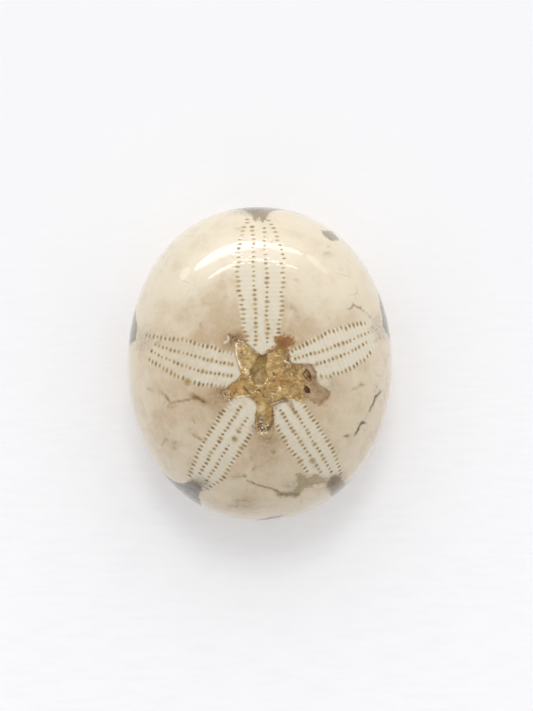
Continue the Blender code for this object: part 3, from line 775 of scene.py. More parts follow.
@dataclass(frozen=True)
class Scar:
    """The star where the shell broke away, its flush brown patch and the two holes in that."""

    outline: tuple[Point, ...] = (
        (-2.84, 2.65), (-2.40, 2.86), (-1.82, 2.65), (-1.34, 2.17), (-0.81, 1.68), (-0.19, 1.20), (0.20, 1.09),
        (0.78, 1.25), (1.36, 1.49), (2.13, 1.78), (2.99, 1.68), (3.21, 1.20), (3.38, 0.53), (3.72, 0.05),
        (4.54, -0.05), (5.17, -0.24), (5.02, -1.21), (5.17, -2.17), (5.02, -3.14), (5.27, -3.91),
        (4.74, -4.44), (4.06, -4.10), (3.48, -4.01), (3.00, -4.10), (2.13, -4.39), (1.69, -4.63),
        (1.50, -5.45), (1.69, -6.03), (1.55, -6.81), (1.45, -7.49), (0.97, -8.07), (0.29, -8.32),
        (-0.38, -7.97), (-0.57, -7.00), (-0.46, -5.94), (-0.33, -5.06), (-0.57, -4.39), (-1.05, -3.95),
        (-1.54, -3.73), (-2.60, -3.86), (-3.27, -4.15), (-3.61, -4.39), (-4.24, -3.72), (-4.43, -3.14),
        (-3.75, -2.75), (-3.17, -2.17), (-2.40, -1.59), (-2.02, -1.11), (-2.31, -0.63), (-2.67, 0.53),
        (-2.93, 1.49), (-2.88, 2.17),
    )
    patch: tuple[Point, ...] = (
        (4.54, -0.05), (5.99, 0.04), (6.33, -0.41), (6.63, -0.85), (6.64, -1.73), (7.03, -2.34),
        (7.65, -2.78), (8.28, -3.23), (8.19, -3.76), (7.57, -4.28), (7.04, -4.89), (6.33, -4.54),
        (5.45, -4.00), (5.27, -3.91), (5.02, -3.14), (5.17, -2.17), (5.02, -1.21), (5.17, -0.24),
    )
    holes: tuple[tuple[Point, ...], ...] = (
        ((4.93, -1.19), (5.20, -0.82), (5.42, -0.52), (5.78, -0.85), (6.05, -1.45), (6.05, -1.85),
         (5.84, -2.15), (5.55, -1.85), (5.20, -1.50)),
        ((5.00, -2.36), (5.60, -2.59), (5.88, -2.95), (5.91, -3.44), (5.32, -3.33), (5.14, -2.87)),
    )
    rust: tuple[Point, ...] = (
        (2.03, 3.26), (2.38, 3.09), (2.82, 3.31), (3.26, 3.27), (3.78, 2.92), (4.04, 2.74), (3.91, 2.39),
        (3.60, 2.22), (3.39, 1.95), (3.17, 1.78), (3.30, 1.34), (3.43, 0.73), (3.30, 0.73), (3.05, 1.34),
        (2.90, 1.55), (2.55, 1.67), (2.03, 1.60), (1.50, 1.40), (0.98, 1.20), (0.54, 1.11), (0.63, 1.38),
        (1.16, 1.60), (1.68, 1.91), (1.94, 2.21), (1.85, 2.83),
    )
    recess: float = 1.7
    hole_depth: float = 0.40
    raggedness: float = 0.08

    def ragged(self, plan: Array) -> Array:
        """A small wander of the broken edge, in millimetres."""
        points = np.column_stack((plan, np.zeros(len(plan))))
        return self.raggedness * (Clouds(0.55, 3).at(points) + 0.7 * Clouds(0.22, 4).at(points))

    def distance(self, plan: Array) -> Array:
        """Distance to the star's broken edge, negative inside."""
        return outline_distance(plan, self.outline) + self.ragged(plan)

    def patch_distance(self, plan: Array) -> Array:
        """Distance to the brown patch, negative inside."""
        return outline_distance(plan, self.patch)

    def hole_distance(self, plan: Array) -> Array:
        """Distance to the nearer of the two holes, negative inside."""
        return np.minimum(*(outline_distance(plan, hole) for hole in self.holes))

    def rust_distance(self, plan: Array) -> Array:
        """Distance to the rusty stain, negative inside."""
        return outline_distance(plan, self.rust)


# ---------------------------------------------------------------------------------------------------------
# The polished test
# ---------------------------------------------------------------------------------------------------------


class Cover(Enum):
    """How fine the mesh is, as the edge length wanted in millimetres."""

    PLAIN = 0.46
    MARKED = 0.25
    CLOSE = 0.13
    FINE = 0.07


@dataclass
class PolishedTest:
    """The whole stone but for the crystals in its scar: form, pits and recess, with its markings as fields."""

    scar: Scar = field(default_factory=Scar)
    cuts: int = 47
    pit_depth: float = 0.018
    rib_height: float = 0.004
    mouth: Point = (0.0, 1.6)
    mouth_radii: Point = (2.7, 2.1)
    mouth_depth: float = 0.95
    groove_length: float = 4.4
    groove_depth: float = 0.28
    vent: Point = (0.0, -13.4)
    waviness: float = 0.004
    fading: tuple[float, float] = (14.0, 9.5)
    pores: PoreField = field(init=False)

    def __post_init__(self) -> None:
        """Grows the pores round the scar."""
        self.pores = PoreField.grown(self.scar)

    def build(self) -> bpy.types.Object:
        """Makes the piece.

        Returns:
            The finished object, at the origin, with its fields as attributes.
        """
        shape = bmesh.new()
        bmesh.ops.create_cube(shape, size=2)
        bmesh.ops.subdivide_edges(shape, edges=shape.edges[:], cuts=self.cuts, use_grid_fill=True)
        for cover in (Cover.MARKED, Cover.CLOSE, Cover.FINE):
            self.refine(shape, cover)
        bmesh.ops.triangulate(shape, faces=shape.faces[:])
        smooth_points = FORM.wrap(positions(shape))
        points = smooth_points + FORM.outward(smooth_points) * self.relief(smooth_points)[:, None]
        points[:, 2] = np.maximum(points[:, 2], 0.0)
        move(shape, points * MM)
        bmesh.ops.recalc_face_normals(shape, faces=shape.faces[:])
        piece = finish_mesh("polished_test", shape)
        for name, values in self.fields(smooth_points).items():
            store(piece, name, values)
        return piece

    def refine(self, shape: bmesh.types.BMesh, cover: Cover) -> None:
        """Splits the edges of every face that wants a mesh at least this fine."""
        shape.faces.ensure_lookup_table()
        middles = np.array([face.calc_center_median() for face in shape.faces])
        wanted = self.wanted(FORM.wrap(middles))
        chosen = [face for face, spacing in zip(shape.faces, wanted) if spacing <= cover.value]
        edges = {edge for face in chosen for edge in face.edges}
        longest = 1.5 * cover.value
        edges = [edge for edge in edges if edge.calc_length() * 16 > longest]
        bmesh.ops.subdivide_edges(shape, edges=edges, cuts=1, use_grid_fill=True)

    def wanted(self, points: Array) -> Array:
        """The mesh spacing wanted at (N, 3) points on the form."""
        spacing = np.full(len(points), Cover.PLAIN.value)
        plan = points[:, :2]
        above = points[:, 2] > FORM.rim
        star = np.where(above, self.scar.distance(plan), FAR)
        holes = np.where(above, self.scar.hole_distance(plan), FAR)
        pore, _ = self.pores.nearest(points)
        marks = blended(STONE_MARKS, points)
        threads = blended([mark for mark in STONE_MARKS if isinstance(mark, Thread)], points)
        spots = np.max([marks[tint.value] for tint in Tint], axis=0)
        lines = np.max([threads[tint.value] for tint in Tint], axis=0)
        edges = np.abs(np.minimum.reduce([
            np.where(above, self.scar.patch_distance(plan), FAR),
            np.where(above, self.scar.rust_distance(plan), FAR),
            np.where(above, outline_distance(plan, OLIVE_OUTLINE), FAR),
            self.matrix_distance(points),
        ]))
        oral = np.where(above, FAR, np.hypot(plan[:, 0], plan[:, 1] - self.mouth[1]))
        marked = (self.plate_edge(points) > -0.5) | (oral < 6) | (spots > 0.03) | (edges < 0.6)
        spacing[marked] = Cover.MARKED.value
        close = (pore < 2.6) | (np.abs(star) < 0.45) | (star < 0) | (lines > 0.02) | (spots > 0.3)
        spacing[close] = Cover.CLOSE.value
        fine = (pore < 1.5) | (np.abs(star) < 0.2) | (holes < 0.12) | (lines > 0.3)
        spacing[fine] = Cover.FINE.value
        return spacing

    def matrix_distance(self, points: Array) -> Array:
        """Distance to the nearest patch of matrix, negative inside."""
        return np.min([patch.distance(points) for patch in MATRIX_PATCHES], axis=0)

    def plate_edge(self, points: Array) -> Array:
        """How far inside the nearest petal's pore plates each point lies, in millimetres."""
        inside = np.full(len(points), -FAR)
        for petal in PETALS:
            along, across = petal.measure(points[:, :2])
            half = petal.through(petal.outer, along)
            here = np.minimum.reduce([half - np.abs(across), along + 1.7, petal.length + 0.7 - along])
            inside = np.maximum(inside, np.where(points[:, 2] > FORM.rim, here, -FAR))
        return inside

    def plate_share(self, points: Array) -> Array:
        """How white the pore plates are at (N, 3) points: less near the front and at some petals' tips."""
        share = smooth(*self.fading, points[:, 1])
        for petal in PETALS:
            along, across = petal.measure(points[:, :2])
            inside = (np.abs(across) < petal.through(petal.outer, along) + 1.0) & (along > 0)
            faded = np.interp(along / petal.length, (0.25, 0.70), (1.0, petal.fade))
            share = np.where(inside, share * faded, share)
        return share

    def petal_fields(self, points: Array) -> tuple[Array, Array]:
        """Where each point lies in its petal.

        Returns:
            How many pores along it lies, whole numbers at the pores, and where it lies between the inner
            rows (1) and the outer rows (2).
        """
        phase = np.zeros(len(points))
        between = np.zeros(len(points))
        for petal in PETALS:
            along, across = petal.measure(points[:, :2])
            stations = petal.stations()
            inner = petal.through(petal.inner, along)
            outer = petal.through(petal.outer, along)
            inside = (np.abs(across) < outer + 0.7) & (along > -1.5) & (along < petal.length + 1.8)
            inside &= points[:, 2] > FORM.rim
            here = np.interp(along, stations, np.arange(len(stations))) + 0.5 * (across > 0)
            phase = np.where(inside, here, phase)
            between = np.where(inside, 1 + (np.abs(across) - inner) / (outer - inner), between)
        return phase, between

    def oral_relief(self, points: Array) -> Array:
        """Depth of the mouth, its grooves and the vent below the form."""
        below = points[:, 2] < FORM.rim * 0.6
        offset = points[:, :2] - self.mouth
        away = np.hypot(offset[:, 0] / self.mouth_radii[0], offset[:, 1] / self.mouth_radii[1])
        depth = self.mouth_depth * smooth(1.0, 0.35, away)
        for angle in (90, 18, 162, -54, -126):
            turn = math.radians(angle)
            along = offset @ (math.cos(turn), math.sin(turn))
            across = offset @ (-math.sin(turn), math.cos(turn))
            reach = smooth(self.groove_length + 2.2, 2.0, along) * (along > 0)
            depth = np.maximum(depth, self.groove_depth * reach * np.exp(-((across / 0.42) ** 2)))
        vent = points - FORM.wrap(np.array([[0.0, -0.72, -0.9]]))[0]
        away = np.sqrt((vent[:, 0] / 1.2) ** 2 + (vent[:, 1] / 1.6) ** 2 + (vent[:, 2] / 1.6) ** 2)
        depth = np.maximum(depth, 0.7 * smooth(1.0, 0.4, away))
        return np.where(below, depth, 0.0)

    def relief(self, points: Array) -> Array:
        """How far the surface stands out from the form, negative where it is cut in."""
        plan = points[:, :2]
        above = points[:, 2] > FORM.rim
        pore, tone = self.pores.nearest(points)
        height = self.waviness * (Clouds(4.5, 21).at(points) + 0.5 * Clouds(2.2, 22).at(points))
        height -= self.pit_depth * (0.4 + tone) * smooth(1.15, 0.3, pore)
        phase, between = self.petal_fields(points)
        ribbed = smooth(0.8, 1.1, between) * smooth(2.6, 2.1, between)
        height -= self.rib_height * np.cos(math.tau * phase) * ribbed
        star = self.scar.distance(plan)
        height -= np.where(above, self.scar.recess * smooth(0.0, -0.14, star), 0.0)
        height -= np.where(above, 0.012 * smooth(0.22, 0.0, star), 0.0)
        holes = self.scar.hole_distance(plan)
        rough = 1 + 0.35 * Clouds(0.3, 5).at(points)
        height -= np.where(above, self.scar.hole_depth * smooth(0.02, -0.25, holes) * rough, 0.0)
        return height - self.oral_relief(points)

    def fields(self, points: Array) -> dict[str, Array]:
        """The markings, by attribute name, at (N, 3) points on the form."""
        plan = points[:, :2]
        above = points[:, 2] > FORM.rim
        pore, tone = self.pores.nearest(points)
        phase, between = self.petal_fields(points)
        return {
            "pore": pore,
            "pore_tone": tone,
            "plate_edge": np.maximum(self.plate_edge(points), -2.0),
            "plate_share": self.plate_share(points),
            "pore_phase": phase,
            "petal_between": between,
            "matrix": self.matrix_distance(points),
            "olive": np.where(above, outline_distance(plan, OLIVE_OUTLINE), FAR),
            "scar": np.where(above, self.scar.distance(plan), FAR),
            "patch": np.where(above, self.scar.patch_distance(plan), FAR),
            "hole": np.where(above, self.scar.hole_distance(plan), FAR),
            "rust": np.where(above, self.scar.rust_distance(plan), FAR),
            "oral": self.oral_relief(points),
            **blended(STONE_MARKS, points),
        }


# ---------------------------------------------------------------------------------------------------------
# The calcite in the scar
# ---------------------------------------------------------------------------------------------------------


CRUST_MARKS: tuple[Mark, ...] = (
    # The upper left arm.
    Patch(((-2.78, 2.48), (-2.43, 2.74), (-1.73, 2.56), (-1.38, 2.13), (-0.68, 1.69), (-0.24, 1.21),
           (-0.59, 0.38), (-1.12, -0.32), (-1.64, -0.67), (-2.08, -0.23), (-2.43, 0.55), (-2.69, 1.34)),
          0.20, Tint.PALE, 0.25),
    Thread(((-2.12, 1.87), (-2.04, 1.34), (-2.25, 0.86)), 0.16, 0.75, Tint.DARK, True),
    Thread(((-1.64, 0.60), (-1.30, 0.56), (-1.12, 0.60)), 0.14, 0.6, Tint.DARK),
    Thread(((-2.40, 2.0), (-1.9, 2.1), (-1.5, 1.7)), 0.14, 0.45, Tint.DARK),
    Thread(((-2.78, 2.20), (-2.76, 1.34), (-2.58, 0.47), (-2.30, -0.02), (-2.10, -0.36)), 0.32, 0.88, Tint.PALE, True),
    Thread(((-1.66, -0.66), (-1.46, -1.00)), 0.38, 1.0, Tint.PALE, True),
    Blot((-2.35, 2.35), (0.45, 0.40), 0, 0.40, Tint.BROWN),
    Blot((-2.55, 2.55), (0.50, 0.40), 0, 0.60, Tint.SPECK),
    Thread(((-1.07, -1.28), (-1.14, -1.81), (-0.77, -2.24)), 0.15, 0.75, Tint.PALE),
    Thread(((-2.78, 2.26), (-2.66, 2.66), (-2.39, 2.76), (-1.95, 2.58)), 0.26, 0.95, Tint.PALE, True),
    Blot((-1.3, -0.05), (0.45, 0.30), -40, 0.55, Tint.PALE),
    # The pit and the channel that leads to it.
    Patch(((0.20, 1.17), (0.92, 1.22), (0.90, 0.38), (0.60, -0.32), (0.84, -0.95), (0.96, -1.60), (0.70, -2.20),
           (-0.55, -2.35), (-1.10, -1.70), (-1.20, -0.70), (-0.68, 0.12), (-0.24, 0.99)), 0.90, Tint.OLIVE, 0.32),
    Blot((-0.08, -1.46), (0.76, 0.84), 0, 0.92, Tint.GRAY, 2.4),
    Blot((-0.15, -0.55), (0.45, 0.40), 0, 0.40, Tint.GRAY),
    Blot((-0.05, -1.42), (0.40, 0.42), 0, 0.34, Tint.PALE),
    Blot((-0.80, -1.15), (0.28, 0.60), 20, 0.40, Tint.DARK),
    # The two pale lines round the pit's lower rim are a painted highlight.
    Thread(((-0.42, -2.44), (-0.10, -2.54), (0.20, -2.50)), 0.15, 0.85, Tint.PALE, True),
    Thread(((0.50, -2.34), (0.84, -1.89), (0.94, -1.55)), 0.16, 0.9, Tint.PALE),
    Thread(((-0.20, -0.85), (0.15, -0.75), (0.50, -0.90)), 0.14, 0.4, Tint.PALE),
    # The plate between the pit and the right arm.
    Patch(((0.98, 1.17), (2.90, 1.60), (3.08, 0.55), (2.38, -0.67), (0.98, -1.19), (0.81, -0.15)),
          0.14, Tint.PALE, 0.20),
    Blot((2.12, 1.10), (0.11, 0.10), 0, 0.6, Tint.DARK),
    Blot((1.50, 0.70), (0.12, 0.10), 0, 0.5, Tint.DARK),
    Blot((2.00, 0.30), (0.10, 0.10), 0, 0.4, Tint.DARK),
    Thread(((2.95, -0.05), (2.99, -0.58)), 0.26, 0.72, Tint.DARK, True),
    Patch(((1.55, -0.92), (2.05, -1.30), (1.58, -1.42)), 0.9, Tint.DARK, 0.06),
    Blot((2.60, -1.66), (1.05, 0.80), 0, 0.90, Tint.AMBER),
    Blot((2.55, -1.62), (0.55, 0.42), 20, 0.55, Tint.AMBER),
    Thread(((1.45, -1.95), (1.80, -1.80), (2.15, -1.72)), 0.14, 0.6, Tint.DARK),
    Thread(((1.50, -1.50), (2.00, -1.55), (2.40, -1.62)), 0.16, 0.5, Tint.BROWN),
    Thread(((2.64, -1.62), (3.1, -1.25), (3.5, -1.1)), 0.14, 0.5, Tint.BROWN),
    Thread(((2.5, -1.5), (2.75, -1.0), (3.0, -0.75)), 0.14, 0.5, Tint.BROWN),
    Thread(((2.2, -1.9), (2.9, -2.25), (3.3, -2.6)), 0.14, 0.5, Tint.BROWN),
    Thread(((4.02, -2.28), (3.95, -2.50), (3.80, -2.64)), 0.16, 0.85, Tint.DARK, True),
    Blot((3.52, -1.37), (0.10, 0.10), 0, 0.7, Tint.DARK),
    Blot((4.30, -0.68), (0.14, 0.12), 0, 0.8, Tint.DARK),
    Blot((4.1, -1.6), (0.5, 0.4), 0, 0.3, Tint.OLIVE),
    # The bright three-cornered crystal and the marks below it.
    Patch(((2.34, -2.50), (2.10, -3.05), (2.47, -3.22), (2.58, -2.78)), 0.85, Tint.PALE, 0.10),
    Thread(((1.33, -3.18), (1.60, -3.24), (1.85, -3.25)), 0.18, 0.85, Tint.DARK, True),
    Blot((1.20, -3.56), (0.12, 0.12), 0, 0.8, Tint.DARK),
    Blot((1.24, -4.17), (0.16, 0.20), 0, 0.75, Tint.DARK),
    # Painted shade: a dark band and spot along the right lobe's lower edge.
    Thread(((1.64, -4.46), (2.21, -4.22), (2.72, -4.02)), 0.32, 0.9, Tint.DARK, True),
    Blot((3.04, -4.08), (0.22, 0.14), 0, 0.8, Tint.DARK),
    Thread(((-0.07, -2.94), (0.28, -3.47), (0.63, -3.91)), 0.16, 0.8, Tint.DARK, True),
    # The lower left arm.
    Blot((-3.0, -2.55), (0.75, 0.50), 25, 0.75, Tint.AMBER),
    Blot((-2.3, -2.2), (0.4, 0.3), 30, 0.35, Tint.AMBER),
    Thread(((-1.73, -2.68), (-1.51, -3.03)), 0.16, 0.75, Tint.DARK, True),
    Blot((-1.29, -3.34), (0.18, 0.14), -30, 0.9, Tint.DARK),
    Blot((-3.85, -3.60), (0.75, 0.70), 0, 0.90, Tint.SPECK),
    Blot((-2.90, -3.60), (0.50, 0.30), 0, 0.45, Tint.SPECK),
    Blot((-3.74, -3.74), (0.12, 0.12), 0, 0.9, Tint.DARK),
    Blot((-3.45, -4.05), (0.14, 0.12), 0, 0.8, Tint.DARK),
    Blot((-4.10, -3.40), (0.12, 0.12), 0, 0.7, Tint.DARK),
    Thread(((-2.75, -3.84), (-2.43, -3.76), (-2.1, -3.70), (-1.64, -3.68), (-1.38, -3.66)), 0.20, 0.85, Tint.PALE, True),
    # The rear arm.
    Blot((0.28, -5.22), (0.46, 0.90), 0, 0.58, Tint.PALE, 3.0),
    Blot((4.15, -2.95), (0.95, 0.60), 0, 0.32, Tint.BROWN),
    Blot((0.30, -7.20), (0.95, 0.85), 0, 0.95, Tint.SPECK),
    Blot((0.20, -6.60), (0.70, 0.55), 0, 0.65, Tint.BROWN),
    Blot((0.40, -7.30), (0.70, 0.40), 0, 0.40, Tint.BROWN),
    Blot((-0.1, -7.4), (0.4, 0.5), 0, 0.45, Tint.BROWN),
    Thread(((0.37, -7.07), (0.63, -7.24), (0.98, -7.07), (1.16, -6.89)), 0.14, 0.75, Tint.PALE, True),
    Thread(((0.55, -6.9), (0.75, -7.35)), 0.12, 0.7, Tint.PALE, True),
    Blot((0.19, -7.66), (0.14, 0.24), 20, 0.95, Tint.DARK),
    Thread(((-0.14, -7.95), (0.32, -8.08), (0.81, -7.96)), 0.30, 1.0, Tint.PALE, True),
    Thread(((3.05, 0.95), (3.20, 0.40), (3.60, -0.10)), 0.26, 0.6, Tint.SPECK, True),
    Blot((1.35, -3.70), (0.70, 0.70), 0, 0.45, Tint.SPECK),
    Blot((-1.0, -3.3), (0.55, 0.45), 0, 0.40, Tint.SPECK),
    Blot((4.0, -1.2), (0.9, 0.8), 0, 0.30, Tint.SPECK),
    Thread(((1.42, -5.10), (1.58, -5.84), (1.54, -6.50), (1.40, -7.1), (0.98, -7.65)), 0.24, 0.75, Tint.DARK, True),
    Blot((1.05, -7.52), (0.20, 0.16), 30, 0.8, Tint.DARK),
    Thread(((-0.45, -5.3), (-0.40, -6.2), (-0.52, -6.9)), 0.14, 0.5, Tint.DARK, True),
    Thread(((-0.2, -5.9), (0.3, -6.0), (0.8, -5.9)), 0.12, 0.4, Tint.DARK),
    Blot((0.95, -6.3), (0.14, 0.12), 0, 0.6, Tint.DARK),
)


@dataclass
class CalciteCrust:
    """The rough honey calcite that fills the star, as one closed lens of crystals."""

    scar: Scar
    pitch: float = 0.07
    margin: float = 0.10
    depth: float = 0.13
    thickness: float = 1.2
    pit: Point = (-0.07, -1.50)
    pit_radius: float = 0.90
    pit_depth: float = 0.50
    softness: float = 0.07
    coarse: Facets = Facets(1.05, 0.07, 0.16, 11)
    fine: Facets = Facets(0.40, 0.03, 0.26, 12)

    def build(self) -> bpy.types.Object:
        """Makes the piece.

        Returns:
            The finished object, at the origin, with its tints as attributes.
        """
        shape = bmesh.new()
        corners = np.array(self.scar.outline)
        low, high = corners.min(axis=0) - 0.3, corners.max(axis=0) + 0.3
        cells = np.ceil((high - low) / self.pitch).astype(int)
        bmesh.ops.create_grid(shape, x_segments=int(cells[0]), y_segments=int(cells[1]), size=0.5)
        flat = positions(shape)[:, :2] * (high - low) + (low + high) / 2
        move(shape, np.column_stack((flat, np.zeros(len(flat)))))
        outside = self.scar.distance(flat) > self.margin
        gone = [vert for vert, out in zip(shape.verts, outside) if out]
        bmesh.ops.delete(shape, geom=gone, context="VERTS")
        bmesh.ops.triangulate(shape, faces=shape.faces[:])
        plan = positions(shape)[:, :2]
        move(shape, np.column_stack((plan, FORM.dome(plan) - self.sunk(plan))))
        lower = bmesh.ops.extrude_face_region(shape, geom=shape.faces[:], use_keep_orig=True)["geom"]
        for vert in (item for item in lower if isinstance(item, bmesh.types.BMVert)):
            vert.co.z -= self.thickness
        plan = positions(shape)[:, :2]
        move(shape, positions(shape) * MM)
        bmesh.ops.recalc_face_normals(shape, faces=shape.faces[:])
        piece = finish_mesh("apical_calcite", shape)
        for name, values in self.tints(plan).items():
            store(piece, name, values)
        return piece

    def sunk(self, plan: Array) -> Array:
        """How far the crystals lie below the dome."""
        points = np.column_stack((plan, np.zeros(len(plan))))
        edge = self.scar.distance(plan)
        marks = blended(CRUST_MARKS, FORM.on_dome(plan))
        in_pit = np.hypot(*((plan - self.pit) * (1.08, 0.95)).T) + 0.16 * Clouds(0.55, 16).at(points)
        pit = smooth(self.pit_radius * 1.25, self.pit_radius * 0.62, in_pit)
        rough = 1 - 0.85 * pit - 0.4 * marks[Tint.OLIVE.value] * (1 - pit)
        sunk = self.depth - (self.coarse.at(plan)[0] + self.fine.at(plan)[0]) * rough
        sunk -= 0.035 * Clouds(0.7, 14).at(points) * rough
        sunk -= 0.010 * Clouds(0.17, 13).at(points) * rough
        sunk += 0.03 * smooth(0.08, 0.02, self.coarse.at(plan)[1]) * rough
        sunk = 0.06 + (sunk - 0.06) * smooth(-0.02, -0.35, edge)
        sunk += 0.38 * marks[Tint.OLIVE.value] * smooth(0.3, 0.9, marks[Tint.OLIVE.value])
        bowl = self.depth + self.pit_depth * pit - 0.3 * (1 - pit)
        sunk = np.logaddexp(sunk / self.softness, bowl / self.softness) * self.softness
        sunk += 0.14 * marks[Tint.DARK.value]
        sunk -= 0.11 * smooth(0.55, 0.95, marks[Tint.PALE.value])
        return np.maximum(sunk, 0.05)

    def tints(self, plan: Array) -> dict[str, Array]:
        """The crust's colours, by attribute name."""
        return {
            "edge": self.scar.distance(plan),
            "coarse_tone": self.coarse.at(plan)[2],
            "fine_tone": self.fine.at(plan)[2],
            "coarse_gap": self.coarse.at(plan)[1],
            "fine_gap": self.fine.at(plan)[1],
            **blended(CRUST_MARKS, FORM.on_dome(plan)),
        }


@dataclass
class Glints:
    """The small clear crystals that catch the light along the scar's edges."""

    places: tuple[Point, ...] = (
        (-2.67, 1.39), (-2.55, 0.86), (-2.31, 0.24), (-2.11, -0.24), (-1.53, -0.82), (-1.00, -1.32),
        (-2.79, 1.78), (-2.71, 2.60), (-2.40, 2.81), (0.15, 1.28), (2.90, 0.33), (3.08, 0.25), (3.30, 0.16),
        (3.43, 0.03), (2.20, -2.75), (2.27, -3.04), (-2.65, -3.86), (-2.43, -3.78), (-2.21, -3.73),
        (-1.95, -3.69), (-1.64, -3.69), (-1.38, -3.64), (-0.48, -3.13), (-0.51, -3.21), (-0.48, -4.00),
        (-0.52, -4.87), (0.05, -8.07), (0.29, -8.12), (0.58, -8.05), (0.49, -6.95), (0.97, -7.10),
        (1.12, -6.95), (0.68, -7.39), (0.68, -2.25), (0.87, -1.83), (-0.19, -2.52), (-2.40, -1.64),
        (-3.31, -4.40), (-3.44, -4.30), (-3.80, -3.43), (4.30, -0.53), (4.44, -1.40),
    )
    large: tuple[Point, ...] = (
        (-2.71, 1.33), (-2.60, 1.05), (-2.24, 0.09), (-1.50, -0.87), (-1.40, -0.72), (-1.12, -1.48),
        (-2.41, 2.78), (2.94, 0.34), (2.37, -2.93), (0.32, -8.02), (-0.21, -3.23), (0.93, -7.11),
        (-4.05, -3.35), (-3.55, -4.20),
    )
    size: float = 0.10
    large_size: float = 0.19

    def build(self) -> bpy.types.Object:
        """Makes the piece: one small cleaved block for each place, joined in one mesh."""
        chance = np.random.default_rng(31)
        shape = bmesh.new()
        for place in self.places:
            self.add(shape, place, self.size, chance)
        for place in self.large:
            self.add(shape, place, self.large_size, chance)
        bmesh.ops.recalc_face_normals(shape, faces=shape.faces[:])
        return finish_mesh("apical_glints", shape, is_smooth=False)

    def add(self, shape: bmesh.types.BMesh, place: Point, size: float, chance: np.random.Generator) -> None:
        """Adds one block, skewed as a calcite rhomb is, half sunk in the crust."""
        middle = FORM.on_dome([place])[0] - (0, 0, 0.06 + size / 2 + chance.uniform(-0.05, 0.06))
        sizes = size * chance.uniform((0.7, 0.5, 0.5), (1.7, 1.0, 1.0))
        skew = Matrix(((1, 0.25, 0.2, 0), (0, 1, 0.25, 0), (0, 0, 1, 0), (0, 0, 0, 1)))
        turn = Matrix.Rotation(chance.uniform(0, math.tau), 4, Vector(chance.normal(size=3)))
        place_it = Matrix.Translation(middle * MM) @ turn @ skew @ Matrix.Diagonal((*(sizes * MM), 1))
        bmesh.ops.create_cube(shape, size=1.0, matrix=place_it)


# ---------------------------------------------------------------------------------------------------------
# Meshes
# ---------------------------------------------------------------------------------------------------------


def positions(shape: bmesh.types.BMesh) -> Array:
    """The vertices' places as an (N, 3) array."""
    return np.array([vert.co[:] for vert in shape.verts])


def move(shape: bmesh.types.BMesh, places: Array) -> None:
    """Puts each vertex at its place."""
    for vert, place in zip(shape.verts, places):
        vert.co = place


def finish_mesh(name: str, shape: bmesh.types.BMesh, is_smooth: bool = True) -> bpy.types.Object:
    """Turns a bmesh into an object at the origin.

    Args:
        name: the piece's name.
        shape: its shape in metres; it is freed.
        is_smooth: whether its faces are shaded smooth.

    Returns:
        The new object, linked to the scene.
    """
    mesh = bpy.data.meshes.new(name)
    shape.to_mesh(mesh)
    shape.free()
    if is_smooth:
        mesh.shade_smooth()
    piece = bpy.data.objects.new(name, mesh)
    bpy.context.scene.collection.objects.link(piece)
    return piece


def store(piece: bpy.types.Object, name: str, values: Array) -> None:
    """Keeps one number for each vertex as an attribute that materials read."""
    layer = piece.data.attributes.new(name, "FLOAT", "POINT")
    layer.data.foreach_set("value", np.asarray(values, np.float32))


# ---------------------------------------------------------------------------------------------------------
# Finishes
# ---------------------------------------------------------------------------------------------------------


def linear(colour: Colour) -> tuple[float, float, float, float]:
    """An 8-bit colour as a linear RGBA value."""
    return (*(((c / 255 + 0.055) / 1.055) ** 2.4 if c > 10 else c / 255 / 12.92 for c in colour), 1.0)


Socket = bpy.types.NodeSocket


